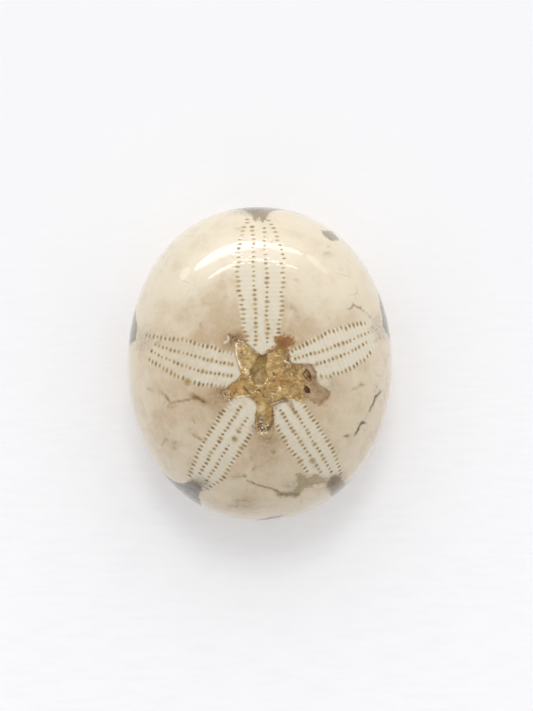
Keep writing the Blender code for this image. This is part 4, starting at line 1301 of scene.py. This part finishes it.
class Graph:
    """A material under construction: each method adds a node and gives back its output."""

    def __init__(self, name: str) -> None:
        """Starts a material with one Principled shader."""
        self.material = bpy.data.materials.new(name)
        self.material.use_nodes = True
        self.nodes = self.material.node_tree.nodes
        self.links = self.material.node_tree.links
        self.shader = self.nodes["Principled BSDF"]
        self.place = self.nodes.new("ShaderNodeTexCoord").outputs["Object"]

    @classmethod
    def of_world(cls, name: str) -> "Graph":
        """A world under construction, with its background as the shader and directions as places."""
        graph = cls.__new__(cls)
        world = bpy.data.worlds.new(name)
        bpy.context.scene.world = world
        world.use_nodes = True
        graph.nodes, graph.links = world.node_tree.nodes, world.node_tree.links
        graph.shader = graph.nodes["Background"]
        graph.place = graph.nodes.new("ShaderNodeTexCoord").outputs["Generated"]
        return graph

    def plug(self, socket: Socket, value: "Socket | float | Colour") -> None:
        """Links an output to an input, or sets the input's value."""
        if isinstance(value, Socket):
            self.links.new(value, socket)
        elif isinstance(value, tuple) and len(value) == 3 and socket.type == "RGBA":
            socket.default_value = linear(value)
        else:
            socket.default_value = value

    def set(self, **values: float) -> None:
        """Sets the shader's own sockets: coat_weight=1.0 sets Coat Weight."""
        for name, value in values.items():
            self.shader.inputs[name.replace("_", " ").title().replace("Ior", "IOR")].default_value = value

    def math(self, operation: str, first: "Socket | float", second: "Socket | float" = 0.0) -> Socket:
        """A Math node."""
        node = self.nodes.new("ShaderNodeMath")
        node.operation = operation
        self.plug(node.inputs[0], first)
        self.plug(node.inputs[1], second)
        return node.outputs[0]

    def times(self, first: "Socket | float", *more: "Socket | float") -> Socket:
        """The product of several values."""
        for value in more:
            first = self.math("MULTIPLY", first, value)
        return first

    def plus(self, first: "Socket | float", *more: "Socket | float") -> Socket:
        """The sum of several values."""
        for value in more:
            first = self.math("ADD", first, value)
        return first

    def step(self, value: Socket, low: float, high: float, start: float = 0.0, end: float = 1.0) -> Socket:
        """A smooth step from start at low to end at high."""
        node = self.nodes.new("ShaderNodeMapRange")
        node.interpolation_type = "SMOOTHSTEP"
        node.clamp = True
        flipped = high < low
        self.plug(node.inputs["Value"], value)
        node.inputs["From Min"].default_value = high if flipped else low
        node.inputs["From Max"].default_value = low if flipped else high
        node.inputs["To Min"].default_value = end if flipped else start
        node.inputs["To Max"].default_value = start if flipped else end
        return node.outputs["Result"]

    def field(self, name: str) -> Socket:
        """A number stored on the mesh."""
        node = self.nodes.new("ShaderNodeAttribute")
        node.attribute_name = name
        return node.outputs["Fac"]

    def noise(self, size: float, detail: float = 3.0, roughness: float = 0.55, seed: float = 0.0) -> Socket:
        """Noise whose features are about `size` millimetres across, between 0 and 1."""
        node = self.nodes.new("ShaderNodeTexNoise")
        node.noise_dimensions = "4D"
        self.plug(node.inputs["Vector"], self.place)
        node.inputs["Scale"].default_value = 1 / (size * MM)
        node.inputs["Detail"].default_value = detail
        node.inputs["Roughness"].default_value = roughness
        node.inputs["W"].default_value = seed
        return node.outputs["Fac"]

    def wander(self, size: float, reach: float, seed: float = 0.0) -> Socket:
        """Noise between plus and minus `reach` millimetres, to bend an edge by."""
        return self.step(self.noise(size, 4, 0.65, seed), 0.25, 0.75, -reach, reach)

    def axes(self) -> tuple[Socket, Socket, Socket]:
        """The place on the object along X, Y and Z, in metres."""
        node = self.nodes.new("ShaderNodeSeparateXYZ")
        self.plug(node.inputs[0], self.place)
        return tuple(node.outputs)

    def cells(self, size: float, feature: str, bend_by: float) -> Socket:
        """The distance a Voronoi pattern gives, with cells `size` millimetres across bent by noise."""
        bend = self.nodes.new("ShaderNodeTexNoise")
        self.plug(bend.inputs["Vector"], self.place)
        bend.inputs["Scale"].default_value = 1.6 / (size * MM)
        bend.inputs["Detail"].default_value = 4
        shift = self.nodes.new("ShaderNodeVectorMath")
        shift.operation = "MULTIPLY_ADD"
        self.plug(shift.inputs[0], bend.outputs["Color"])
        shift.inputs[1].default_value = (bend_by * MM,) * 3
        self.plug(shift.inputs[2], self.place)
        node = self.nodes.new("ShaderNodeTexVoronoi")
        node.feature = feature
        self.plug(node.inputs["Vector"], shift.outputs[0])
        node.inputs["Scale"].default_value = 1 / (size * MM)
        return node.outputs["Distance"]

    def mix(self, share: "Socket | float", first: "Socket | Colour", second: "Socket | Colour") -> Socket:
        """Two colours mixed by a share of the second."""
        node = self.nodes.new("ShaderNodeMix")
        node.data_type = "RGBA"
        self.plug(node.inputs["Factor"], share)
        self.plug(node.inputs[6], first)
        self.plug(node.inputs[7], second)
        return node.outputs[2]

    def specked(self, colour: Socket, dark: Colour, light: Colour) -> Socket:
        """A colour with dark and light grains wherever dirt and fine crystals lie thick."""
        thick = self.field(Tint.SPECK.value)
        grains = self.step(self.plus(self.noise(0.24, 2, 0.6, 40), self.times(thick, 0.06)), 0.54, 0.62)
        colour = self.mix(self.times(grains, thick), colour, dark)
        crystals = self.step(self.plus(self.noise(0.22, 2, 0.6, 41), self.times(thick, 0.05)), 0.61, 0.67)
        return self.mix(self.times(crystals, thick), colour, light)

    def bump(self, height: Socket, strength: float, distance: float) -> None:
        """Bends the shader's normal by a height, with the relief's full depth in millimetres."""
        node = self.nodes.new("ShaderNodeBump")
        node.inputs["Strength"].default_value = strength
        node.inputs["Distance"].default_value = distance * MM
        self.plug(node.inputs["Height"], height)
        self.plug(self.shader.inputs["Normal"], node.outputs["Normal"])


@dataclass(frozen=True)
class PolishedStone:
    """Cream calcite polished to a gloss, with the petals, veins, stains and matrix in it."""

    tan: Colour = (188, 161, 122)
    cream_and_painted_light: Colour = (226, 213, 186)
    buff: Colour = (214, 196, 166)
    blush: Colour = (196, 166, 132)
    sand: Colour = (190, 168, 130)
    milk: Colour = (222, 209, 184)
    plate: Colour = (220, 210, 186)
    plate_white: Colour = (226, 218, 198)
    groove: Colour = (196, 180, 148)
    pore: Colour = (118, 82, 18)
    pore_pale: Colour = (188, 160, 98)
    dark: Colour = (88, 66, 38)
    sepia: Colour = (110, 68, 16)
    umber: Colour = (104, 80, 10)
    brown: Colour = (148, 112, 60)
    gray: Colour = (136, 128, 110)
    matrix: Colour = (104, 100, 88)
    matrix_pale: Colour = (136, 131, 116)
    matrix_front: Colour = (154, 144, 116)
    olive: Colour = (158, 140, 100)
    olive_pale: Colour = (176, 157, 120)
    rust: Colour = (150, 99, 22)
    rust_dark: Colour = (126, 77, 10)
    patch: Colour = (154, 121, 76)
    patch_pale: Colour = (182, 151, 108)
    patch_edge: Colour = (112, 80, 46)
    hole: Colour = (98, 66, 26)
    hole_pale: Colour = (182, 146, 86)
    honey: Colour = (158, 128, 80)
    warm_spot: Point = (-5.5, 5.2)
    roughness: float = 0.34
    coat_roughness: float = 0.035
    coat_ior: float = 1.58

    def dress(self, piece: bpy.types.Object) -> None:
        """Gives the piece this finish."""
        graph = Graph("polished_stone")
        colour = self.ground(graph)
        colour = self.petals(graph, colour)
        colour = self.scar(graph, colour)
        colour = self.markings(graph, colour)
        graph.plug(graph.shader.inputs["Base Color"], colour)
        graph.set(roughness=self.roughness, specular_ior_level=0.3, coat_weight=1.0,
                  coat_roughness=self.coat_roughness, coat_ior=self.coat_ior)
        piece.data.materials.append(graph.material)

    def ground(self, graph: Graph) -> Socket:
        """The stone between the petals: tan in the middle, cream to the front and the rim, and cloudy."""
        across, along, _ = graph.axes()
        away = graph.math("SQRT", graph.plus(graph.times(across, across, 1.4), graph.times(along, along)))
        bend = graph.wander(6.0, 2.4 * MM, 1)
        colour = graph.mix(graph.step(graph.plus(away, bend), 6.5 * MM, 14.5 * MM), self.tan, self.buff)
        # Partly painted light: paler towards the lit front flank and the rim, besides the stone's own tone.
        front = graph.step(graph.plus(along, graph.times(bend, 1.5)), 1.0 * MM, 13.0 * MM)
        rim = graph.step(graph.plus(away, bend), 12.0 * MM, 20.0 * MM, 0.0, 0.4)
        colour = graph.mix(graph.math("MAXIMUM", front, rim), colour, self.cream_and_painted_light)
        aside = graph.plus(across, self.warm_spot[0] * -MM)
        ahead = graph.plus(along, self.warm_spot[1] * -MM)
        near = graph.math("SQRT", graph.plus(graph.times(aside, aside), graph.times(ahead, ahead)))
        warm = graph.step(graph.plus(near, bend), 6.5 * MM, 1.5 * MM, 0.0, 0.65)
        colour = graph.mix(warm, colour, self.tan)
        calm = graph.step(along, 2.0 * MM, 9.0 * MM, 1.0, 0.55)
        for colour_of, size, seed, share in ((self.blush, 3.4, 3, 0.55), (self.sand, 2.4, 4, 0.45)):
            cloud = graph.step(graph.noise(size, 3, 0.6, seed), 0.49, 0.70, 0.0, share)
            colour = graph.mix(graph.times(cloud, calm), colour, colour_of)
        colour = graph.mix(graph.step(graph.noise(1.8, 4, 0.6, 6), 0.50, 0.74, 0.0, 0.45), colour, self.milk)
        cracks = graph.cells(3.2, "DISTANCE_TO_EDGE", bend_by=1.1)
        faint = graph.times(graph.step(cracks, 0.035, 0.0), graph.step(graph.noise(2.2, 2, 0.5, 31), 0.50, 0.68))
        colour = graph.mix(graph.times(faint, 0.28), colour, self.brown)
        veins = graph.cells(5.2, "DISTANCE_TO_EDGE", bend_by=2.2)
        pale = graph.times(graph.step(veins, 0.10, 0.01), graph.step(graph.noise(2.6, 3, 0.6, 37), 0.42, 0.62))
        colour = graph.mix(graph.times(pale, 0.42), colour, self.milk)
        grain = graph.step(graph.noise(0.26, 3, 0.6, 5), 0.35, 0.70, 0.0, 0.15)
        colour = graph.mix(grain, colour, self.milk)
        specks = graph.step(graph.noise(0.42, 2, 0.5, 33), 0.72, 0.80, 0.0, 0.35)
        return graph.mix(specks, colour, self.brown)

    def petals(self, graph: Graph, colour: Socket) -> Socket:
        """The whiter pore plates with their fine hatching, and the brown pores."""
        wave = graph.math("COSINE", graph.times(graph.field("pore_phase"), math.tau))
        bars = graph.step(wave, 0.75, -0.75)
        between = graph.field("petal_between")
        rows = graph.times(graph.step(between, 0.70, 1.05), graph.step(between, 3.2, 2.6))
        edge = graph.plus(graph.field("plate_edge"), graph.wander(0.7, 0.16, 7), graph.times(bars, 0.34))
        cloud = graph.step(graph.noise(0.8, 4, 0.65, 8), 0.30, 0.62, 0.60, 0.98)
        plate = graph.times(graph.step(edge, -0.02, 0.34), cloud, graph.field("plate_share"))
        colour = graph.mix(plate, colour, self.plate)
        uneven = graph.times(graph.step(graph.noise(0.5, 3, 0.6, 10), 0.3, 0.6, 0.5, 1.0),
                             graph.step(graph.noise(1.7, 3, 0.6, 35), 0.36, 0.60, 0.30, 1.1))
        white = graph.times(bars, plate, uneven)
        middle = graph.step(between, 0.80, 0.55, 0.0, 0.45)
        colour = graph.mix(graph.times(white, rows, 0.36), colour, self.plate_white)
        colour = graph.mix(graph.times(middle, plate), colour, self.plate_white)
        lines = graph.step(wave, 0.25, 1.0)
        colour = graph.mix(graph.times(lines, rows, plate, 0.09), colour, self.groove)
        pore = graph.plus(graph.field("pore"), graph.wander(0.12, 0.30, 9))
        tone = graph.plus(graph.field("pore_tone"), graph.wander(0.3, 0.2, 32))
        halo = graph.step(pore, 1.9, 1.1, 0.0, 0.35)
        colour = graph.mix(halo, colour, self.groove)
        brown = graph.mix(tone, self.pore_pale, self.pore)
        return graph.mix(graph.step(pore, 1.50, 0.45, 0.0, 0.96), colour, brown)

    def markings(self, graph: Graph, colour: Socket) -> Socket:
        """The stains, veins and matrix."""
        cloudy = graph.step(graph.noise(0.5, 4, 0.65, 15), 0.30, 0.62, 0.45, 1.15)
        speckle = graph.step(graph.noise(0.24, 4, 0.75, 17), 0.38, 0.62, 0.15, 1.35)
        broken = graph.step(graph.noise(0.22, 3, 0.6, 18), 0.30, 0.60, 0.55, 1.25)
        olive = graph.step(graph.plus(graph.field("olive"), graph.wander(0.4, 0.28, 11)), 0.26, -0.16, 0.0, 0.88)
        olive_colour = graph.mix(graph.step(graph.noise(0.5, 4, 0.7, 12), 0.4, 0.7), self.olive, self.olive_pale)
        colour = graph.mix(olive, colour, olive_colour)
        matrix = graph.step(graph.plus(graph.field("matrix"), graph.wander(0.35, 0.20, 13)), 0.17, -0.15)
        gray = graph.mix(graph.step(graph.noise(0.8, 5, 0.75, 19), 0.40, 0.62), self.matrix, self.matrix_pale)
        _, along, _ = graph.axes()
        gray = graph.mix(graph.step(along, 3.0 * MM, 13.0 * MM, 0.0, 0.9), gray, self.matrix_front)
        stained = graph.step(graph.field("matrix"), -0.7, 0.1, 0.0, 0.55)
        gray = graph.mix(graph.times(stained, graph.step(graph.noise(0.7, 4, 0.7, 34), 0.4, 0.6)), gray, self.olive)
        colour = graph.mix(matrix, colour, gray)
        colour = graph.mix(graph.times(graph.field(Tint.BROWN.value), cloudy), colour, self.brown)
        colour = graph.mix(graph.times(graph.field(Tint.SEPIA.value), cloudy), colour, self.sepia)
        colour = graph.mix(graph.field(Tint.AMBER.value), colour, self.umber)
        colour = graph.mix(graph.times(graph.field(Tint.GRAY.value), speckle), colour, self.gray)
        colour = graph.mix(graph.times(graph.field(Tint.OLIVE.value), speckle), colour, self.olive)
        colour = graph.mix(graph.times(graph.field(Tint.DARK.value), broken), colour, self.dark)
        colour = graph.mix(graph.field(Tint.PALE.value), colour, self.plate_white)
        return graph.specked(colour, self.sepia, self.plate_white)

    def scar(self, graph: Graph, colour: Socket) -> Socket:
        """What lies round the star: the brown patch, its holes, the rust and the stained edge."""
        fine = graph.wander(0.25, 0.14, 21)
        patch = graph.plus(graph.field("patch"), fine)
        brown = graph.mix(graph.step(graph.noise(0.6, 5, 0.7, 22), 0.42, 0.60), self.patch, self.patch_pale)
        rim = graph.times(graph.step(patch, -0.40, -0.05), graph.step(graph.noise(0.7, 3, 0.6, 24), 0.38, 0.60))
        brown = graph.mix(rim, brown, self.patch_edge)
        blotch = graph.step(graph.noise(0.45, 4, 0.7, 28), 0.56, 0.66, 0.0, 0.75)
        brown = graph.mix(blotch, brown, self.patch_edge)
        colour = graph.mix(graph.step(patch, 0.08, -0.12, 0.0, 0.90), colour, brown)
        rust = graph.plus(graph.field("rust"), graph.wander(0.28, 0.34, 25))
        rusty = graph.mix(graph.step(rust, -0.05, -0.55), self.rust, self.rust_dark)
        colour = graph.mix(graph.step(rust, 0.34, -0.12, 0.0, 0.93), colour, rusty)
        ring = graph.plus(graph.field("scar"), graph.wander(0.4, 0.10, 29))
        colour = graph.mix(graph.step(ring, 0.26, -0.02, 0.0, 0.50), colour, self.honey)
        lip = graph.times(graph.step(ring, 0.05, -0.06), graph.step(graph.noise(1.1, 3, 0.6, 42), 0.40, 0.56, 0.15, 0.85))
        colour = graph.mix(lip, colour, self.sepia)
        beside = graph.times(graph.step(ring, 0.75, 0.0), graph.step(patch, 0.05, -0.15), 0.70)
        colour = graph.mix(beside, colour, self.honey)
        oral = graph.mix(graph.noise(0.6, 4, 0.7, 26), self.matrix, self.olive)
        colour = graph.mix(graph.step(graph.field("oral"), 0.12, 0.5), colour, oral)
        inner = graph.plus(graph.field("hole"), graph.wander(0.3, 0.10, 36))
        ring = graph.times(graph.step(inner, -0.08, -0.20), graph.step(graph.noise(0.5, 2, 0.5, 38), 0.46, 0.54))
        upper = graph.step(graph.axes()[1], -2.4 * MM, -2.0 * MM, 0.25, 1.0)
        hole = graph.mix(graph.times(ring, upper), self.hole, self.hole_pale)
        return graph.mix(graph.step(graph.field("hole"), 0.10, -0.06), colour, hole)


@dataclass(frozen=True)
class HoneyCalcite:
    """Rough, half-clear honey calcite."""

    honey: Colour = (172, 136, 68)
    light: Colour = (202, 170, 106)
    dark: Colour = (130, 94, 36)
    crevice: Colour = (82, 50, 14)
    dirt: Colour = (62, 36, 8)
    pale: Colour = (228, 202, 148)
    white: Colour = (252, 247, 232)
    amber: Colour = (174, 120, 50)
    olive: Colour = (136, 106, 26)
    glassy: Colour = (152, 120, 66)
    glassy_light: Colour = (196, 170, 124)
    brown: Colour = (128, 94, 60)
    roughness: float = 0.30

    def dress(self, piece: bpy.types.Object) -> None:
        """Gives the piece this finish."""
        graph = Graph("honey_calcite")
        colour = self.crystals(graph)
        colour = self.flaws(graph, colour)
        graph.plug(graph.shader.inputs["Base Color"], colour)
        graph.set(roughness=self.roughness, coat_weight=0.5, coat_roughness=0.12, ior=1.55)
        graph.bump(graph.noise(0.14, 4, 0.6, 8), 0.3, 0.04)
        piece.data.materials.append(graph.material)

    def crystals(self, graph: Graph) -> Socket:
        """The honey, amber and olive of the crystals themselves."""
        tone = graph.plus(graph.times(graph.field("coarse_tone"), 0.40), graph.times(graph.field("fine_tone"), 0.35))
        tone = graph.plus(tone, graph.step(graph.noise(0.8, 4, 0.65), 0.34, 0.66, -0.8, 1.0))
        colour = graph.mix(graph.step(tone, -0.1, 1.1), self.honey, self.light)
        colour = graph.mix(graph.step(tone, -0.15, -1.3), colour, self.dark)
        amber = graph.step(graph.noise(1.1, 4, 0.65, 11), 0.54, 0.66, 0.0, 0.5)
        colour = graph.mix(amber, colour, self.amber)
        cloudy = graph.step(graph.noise(0.4, 4, 0.7, 12), 0.30, 0.60, 0.4, 1.0)
        colour = graph.mix(graph.times(graph.field(Tint.AMBER.value), cloudy), colour, self.amber)
        colour = graph.mix(graph.times(graph.field(Tint.BROWN.value), cloudy), colour, self.brown)
        colour = graph.mix(graph.times(graph.field(Tint.OLIVE.value), 0.88), colour, self.olive)
        cloud = graph.step(graph.noise(0.6, 4, 0.7, 3), 0.38, 0.62)
        return graph.mix(graph.field(Tint.GRAY.value), colour, graph.mix(cloud, self.glassy, self.glassy_light))

    def flaws(self, graph: Graph, colour: Socket) -> Socket:
        """The gaps, specks, a darker band inside the edge, bright pale crystals and painted glints."""
        broken = graph.step(graph.noise(0.6, 3, 0.6, 7), 0.46, 0.60)
        gap = graph.plus(graph.field("coarse_gap"), graph.wander(0.2, 0.06, 5))
        colour = graph.mix(graph.times(graph.step(gap, 0.08, 0.0, 0.0, 0.5), broken), colour, self.crevice)
        fine_gap = graph.plus(graph.field("fine_gap"), graph.wander(0.15, 0.03, 13))
        colour = graph.mix(graph.times(graph.step(fine_gap, 0.05, 0.0, 0.0, 0.25), broken), colour, self.crevice)
        edge = graph.plus(graph.field("edge"), graph.wander(0.6, 0.20, 6))
        stained = graph.times(graph.step(edge, -0.20, 0.05), graph.step(graph.noise(0.8, 3, 0.6, 14), 0.42, 0.62))
        colour = graph.mix(graph.times(stained, 0.55), colour, self.dark)
        pale = graph.field(Tint.PALE.value)
        colour = graph.mix(graph.step(pale, 0.0, 0.6, 0.0, 0.55), colour, self.pale)
        specks = graph.step(graph.noise(0.24, 3, 0.6, 9), 0.69, 0.74, 0.0, 0.8)
        colour = graph.mix(specks, colour, self.crevice)
        # Painted glints: white specks, thicker near the crust's edge, for light caught by crystal faces.
        rim = graph.step(edge, -0.55, -0.10, 0.0, 0.05)
        painted_glints = graph.step(graph.plus(graph.noise(0.15, 3, 0.6, 10), rim), 0.68, 0.73, 0.0, 0.9)
        colour = graph.mix(painted_glints, colour, self.white)
        colour = graph.mix(graph.times(graph.field(Tint.DARK.value), 0.85), colour, self.crevice)
        # Pale marks turn white where thick: pale crystals, and on the pit's lower rim a painted highlight.
        bright = graph.times(pale, graph.step(graph.noise(0.32, 3, 0.6, 15), 0.42, 0.56, 0.35, 1.25))
        colour = graph.mix(graph.step(bright, 0.60, 1.05), colour, self.white)
        return graph.specked(colour, self.dirt, self.white)


@dataclass(frozen=True)
class ClearCalcite:
    """Small clean crystals, nearly white."""

    white: Colour = (250, 246, 234)

    def dress(self, piece: bpy.types.Object) -> None:
        """Gives the piece this finish."""
        graph = Graph("clear_calcite")
        colour = graph.mix(graph.noise(0.2, 2), self.white, (228, 212, 178))
        graph.plug(graph.shader.inputs["Base Color"], colour)
        graph.set(roughness=0.12, coat_weight=0.5, coat_roughness=0.05, ior=1.55)
        piece.data.materials.append(graph.material)


@dataclass(frozen=True)
class Paper:
    """The pale floor, with painted shade that grays it towards +Y and a painted glow that lifts its shadows."""

    white: Colour = (243, 243, 244)
    painted_front_shade: Colour = (236, 236, 237)
    shade: Colour = (235, 235, 236)
    painted_glow: float = 0.135

    def dress(self, piece: bpy.types.Object) -> None:
        """Gives the piece this finish."""
        graph = Graph("pale_floor")
        mapping = graph.nodes.new("ShaderNodeMapping")
        mapping.inputs["Scale"].default_value = (0.25, 1.6, 1.0)
        graph.plug(mapping.inputs["Vector"], graph.place)
        graph.place = mapping.outputs["Vector"]
        fibre = graph.noise(1.2, 4, 0.6)
        _, along, _ = graph.axes()
        # Painted shade: the floor grows a little grayer towards +Y.
        base = graph.mix(graph.step(along, -60 * MM, 60 * MM), self.white, self.painted_front_shade)
        colour = graph.mix(graph.step(fibre, 0.35, 0.65, 0.0, 0.5), base, self.shade)
        graph.plug(graph.shader.inputs["Base Color"], colour)
        graph.bump(fibre, 0.3, 0.05)
        # Painted glow: a faint white emission that brightens the floor and lifts its shadows.
        graph.set(roughness=0.9, specular_ior_level=0.1, emission_strength=self.painted_glow)
        graph.shader.inputs["Emission Color"].default_value = linear(self.white)
        piece.data.materials.append(graph.material)


# ---------------------------------------------------------------------------------------------------------
# The studio
# ---------------------------------------------------------------------------------------------------------


@dataclass(frozen=True)
class WindowPane:
    """A bright upright rectangle that the polish mirrors.

    It stands on an upright wall that faces the stone from one azimuth (from +Y towards +X). Its sides are
    azimuths and its lower and upper edges are elevations seen straight ahead, all in degrees.
    """

    name: str
    facing: float
    sides: tuple[float, float]
    edges: tuple[float, float]
    radiance: float
    distance: float = 0.9
    is_rounded: bool = False

    def hang(self) -> None:
        """Makes the light, which shows in reflections alone."""
        left, right = (math.tan(math.radians(side - self.facing)) for side in self.sides)
        low, high = (math.tan(math.radians(edge)) for edge in self.edges)
        facing = math.radians(self.facing)
        ahead = Vector((math.sin(facing), math.cos(facing), 0))
        aside = Vector((math.cos(facing), -math.sin(facing), 0))
        lamp = bpy.data.lights.new(self.name, "AREA")
        lamp.shape = "ELLIPSE" if self.is_rounded else "RECTANGLE"
        lamp.size = (right - left) * self.distance
        lamp.size_y = (high - low) * self.distance
        filled = math.pi / 4 if self.is_rounded else 1.0
        lamp.energy = self.radiance * math.pi * lamp.size * lamp.size_y * filled
        made = bpy.data.objects.new(self.name, lamp)
        middle = ahead + aside * (left + right) / 2 + Vector((0, 0, (low + high) / 2))
        made.location = middle * self.distance
        made.rotation_euler = (-ahead).to_track_quat("-Z", "Y").to_euler()
        made.visible_camera = False
        made.visible_diffuse = False
        bpy.context.scene.collection.objects.link(made)


@dataclass
class Studio:
    """Camera, lights, world and floor."""

    camera_x: float = 0.79
    camera_y: float = 1.03
    camera_height: float = 260.0
    lens: float = 70.04
    sensor: float = 24.0
    floor_size: float = 900.0
    floor_gap: float = 0.01
    sky_level: float = 0.80
    sky_slope: float = 0.25
    key_elevation: float = 60.0
    key_radiance: float = 7.2
    key_size: float = 0.26
    window_glow: float = 0.7
    lens_shade: float = 0.5
    panes: tuple[WindowPane, ...] = (
        WindowPane("window_low_left", -19, (-44, 6), (21.2, 32.6), 2.6, 0.86, True),
        WindowPane("window_low_core", -19, (-43, 2), (22.2, 30.0), 3.0, 0.85, True),
        WindowPane("window_low_right", 2, (-26, 27.5), (24.0, 30.4), 4.0, 0.86, True),
        WindowPane("window_high_left", -22, (-39.5, -8), (40.6, 43.2), 4.8, 0.86, True),
        WindowPane("window_high_right", 6, (-16, 28), (40.2, 42.6), 4.2, 0.86, True),
        WindowPane("window_glow", -8, (-43, 27), (26, 43), 0.3, 0.88, True),
        WindowPane("window_left", -49, (-54, -45), (13, 23), 1.4, 0.86, True),
        WindowPane("window_right", 37, (29, 45), (20, 27), 1.2, 0.86, True),
    )

    def build(self) -> None:
        """Sets the stage."""
        bpy.context.scene.view_settings.view_transform = "Standard"
        self.place_camera()
        self.light_world()
        self.hang_key()
        for pane in self.panes:
            pane.hang()
        self.lay_floor()

    def place_camera(self) -> None:
        """Puts the camera straight above the stone."""
        lens = bpy.data.cameras.new("overhead")
        lens.sensor_fit = "VERTICAL"
        lens.sensor_height = self.sensor
        lens.lens = self.lens
        lens.clip_start = 0.01
        made = bpy.data.objects.new("overhead", lens)
        made.location = (self.camera_x * MM, self.camera_y * MM, self.camera_height * MM)
        bpy.context.scene.collection.objects.link(made)
        bpy.context.scene.camera = made

    def hang_key(self) -> None:
        """Hangs a soft lamp high in front, which gives the floor its shadow and shows in no reflection."""
        lamp = bpy.data.lights.new("key", "AREA")
        lamp.size = self.key_size
        lamp.energy = self.key_radiance * math.pi * self.key_size**2
        made = bpy.data.objects.new("key", lamp)
        turn = math.radians(self.key_elevation)
        made.location = (0, math.cos(turn), math.sin(turn))
        made.rotation_euler = (-made.location).to_track_quat("-Z", "Y").to_euler()
        made.visible_glossy = False
        bpy.context.scene.collection.objects.link(made)

    def light_world(self) -> None:
        """A white room, brighter towards the windows and darker where the lens looks down from."""
        graph = Graph.of_world("room")
        graph.shader.inputs["Color"].default_value = linear((253, 253, 255))
        _, ahead, up = graph.axes()
        level = graph.plus(graph.times(ahead, self.sky_slope), self.sky_level)
        glow = graph.times(graph.step(ahead, 0.30, 0.80), graph.step(up, 0.02, 0.30), graph.step(up, 0.75, 0.62))
        level = graph.plus(level, graph.times(glow, self.window_glow))
        shade = graph.step(up, 0.93, 0.99, 1.0, self.lens_shade)
        graph.plug(graph.shader.inputs["Strength"], graph.times(level, shade))

    def lay_floor(self) -> None:
        """Lays the pale floor under the stone."""
        shape = bmesh.new()
        bmesh.ops.create_grid(shape, x_segments=2, y_segments=2, size=self.floor_size * MM / 2)
        bmesh.ops.translate(shape, verts=shape.verts[:], vec=(0, 0, -self.floor_gap * MM))
        floor = finish_mesh("pale_floor", shape)
        Paper().dress(floor)


def main() -> None:
    """Builds and dresses every piece, and sets the stage."""
    logging.basicConfig(level=logging.INFO, format="%(name)s: %(message)s")
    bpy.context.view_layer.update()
    scar = Scar()
    test = PolishedTest(scar).build()
    PolishedStone().dress(test)
    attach(test, "root")
    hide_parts(NODE)
    LOG.info("polished test: %d faces", len(test.data.polygons))
    crust = CalciteCrust(scar).build()
    HoneyCalcite().dress(crust)
    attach(crust, "root")
    LOG.info("apical calcite: %d faces", len(crust.data.polygons))
    glints = Glints().build()
    ClearCalcite().dress(glints)
    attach(glints, "root")
    LOG.info("apical glints: %d faces", len(glints.data.polygons))
    Studio().build()


if __name__ == "__main__":
    main()
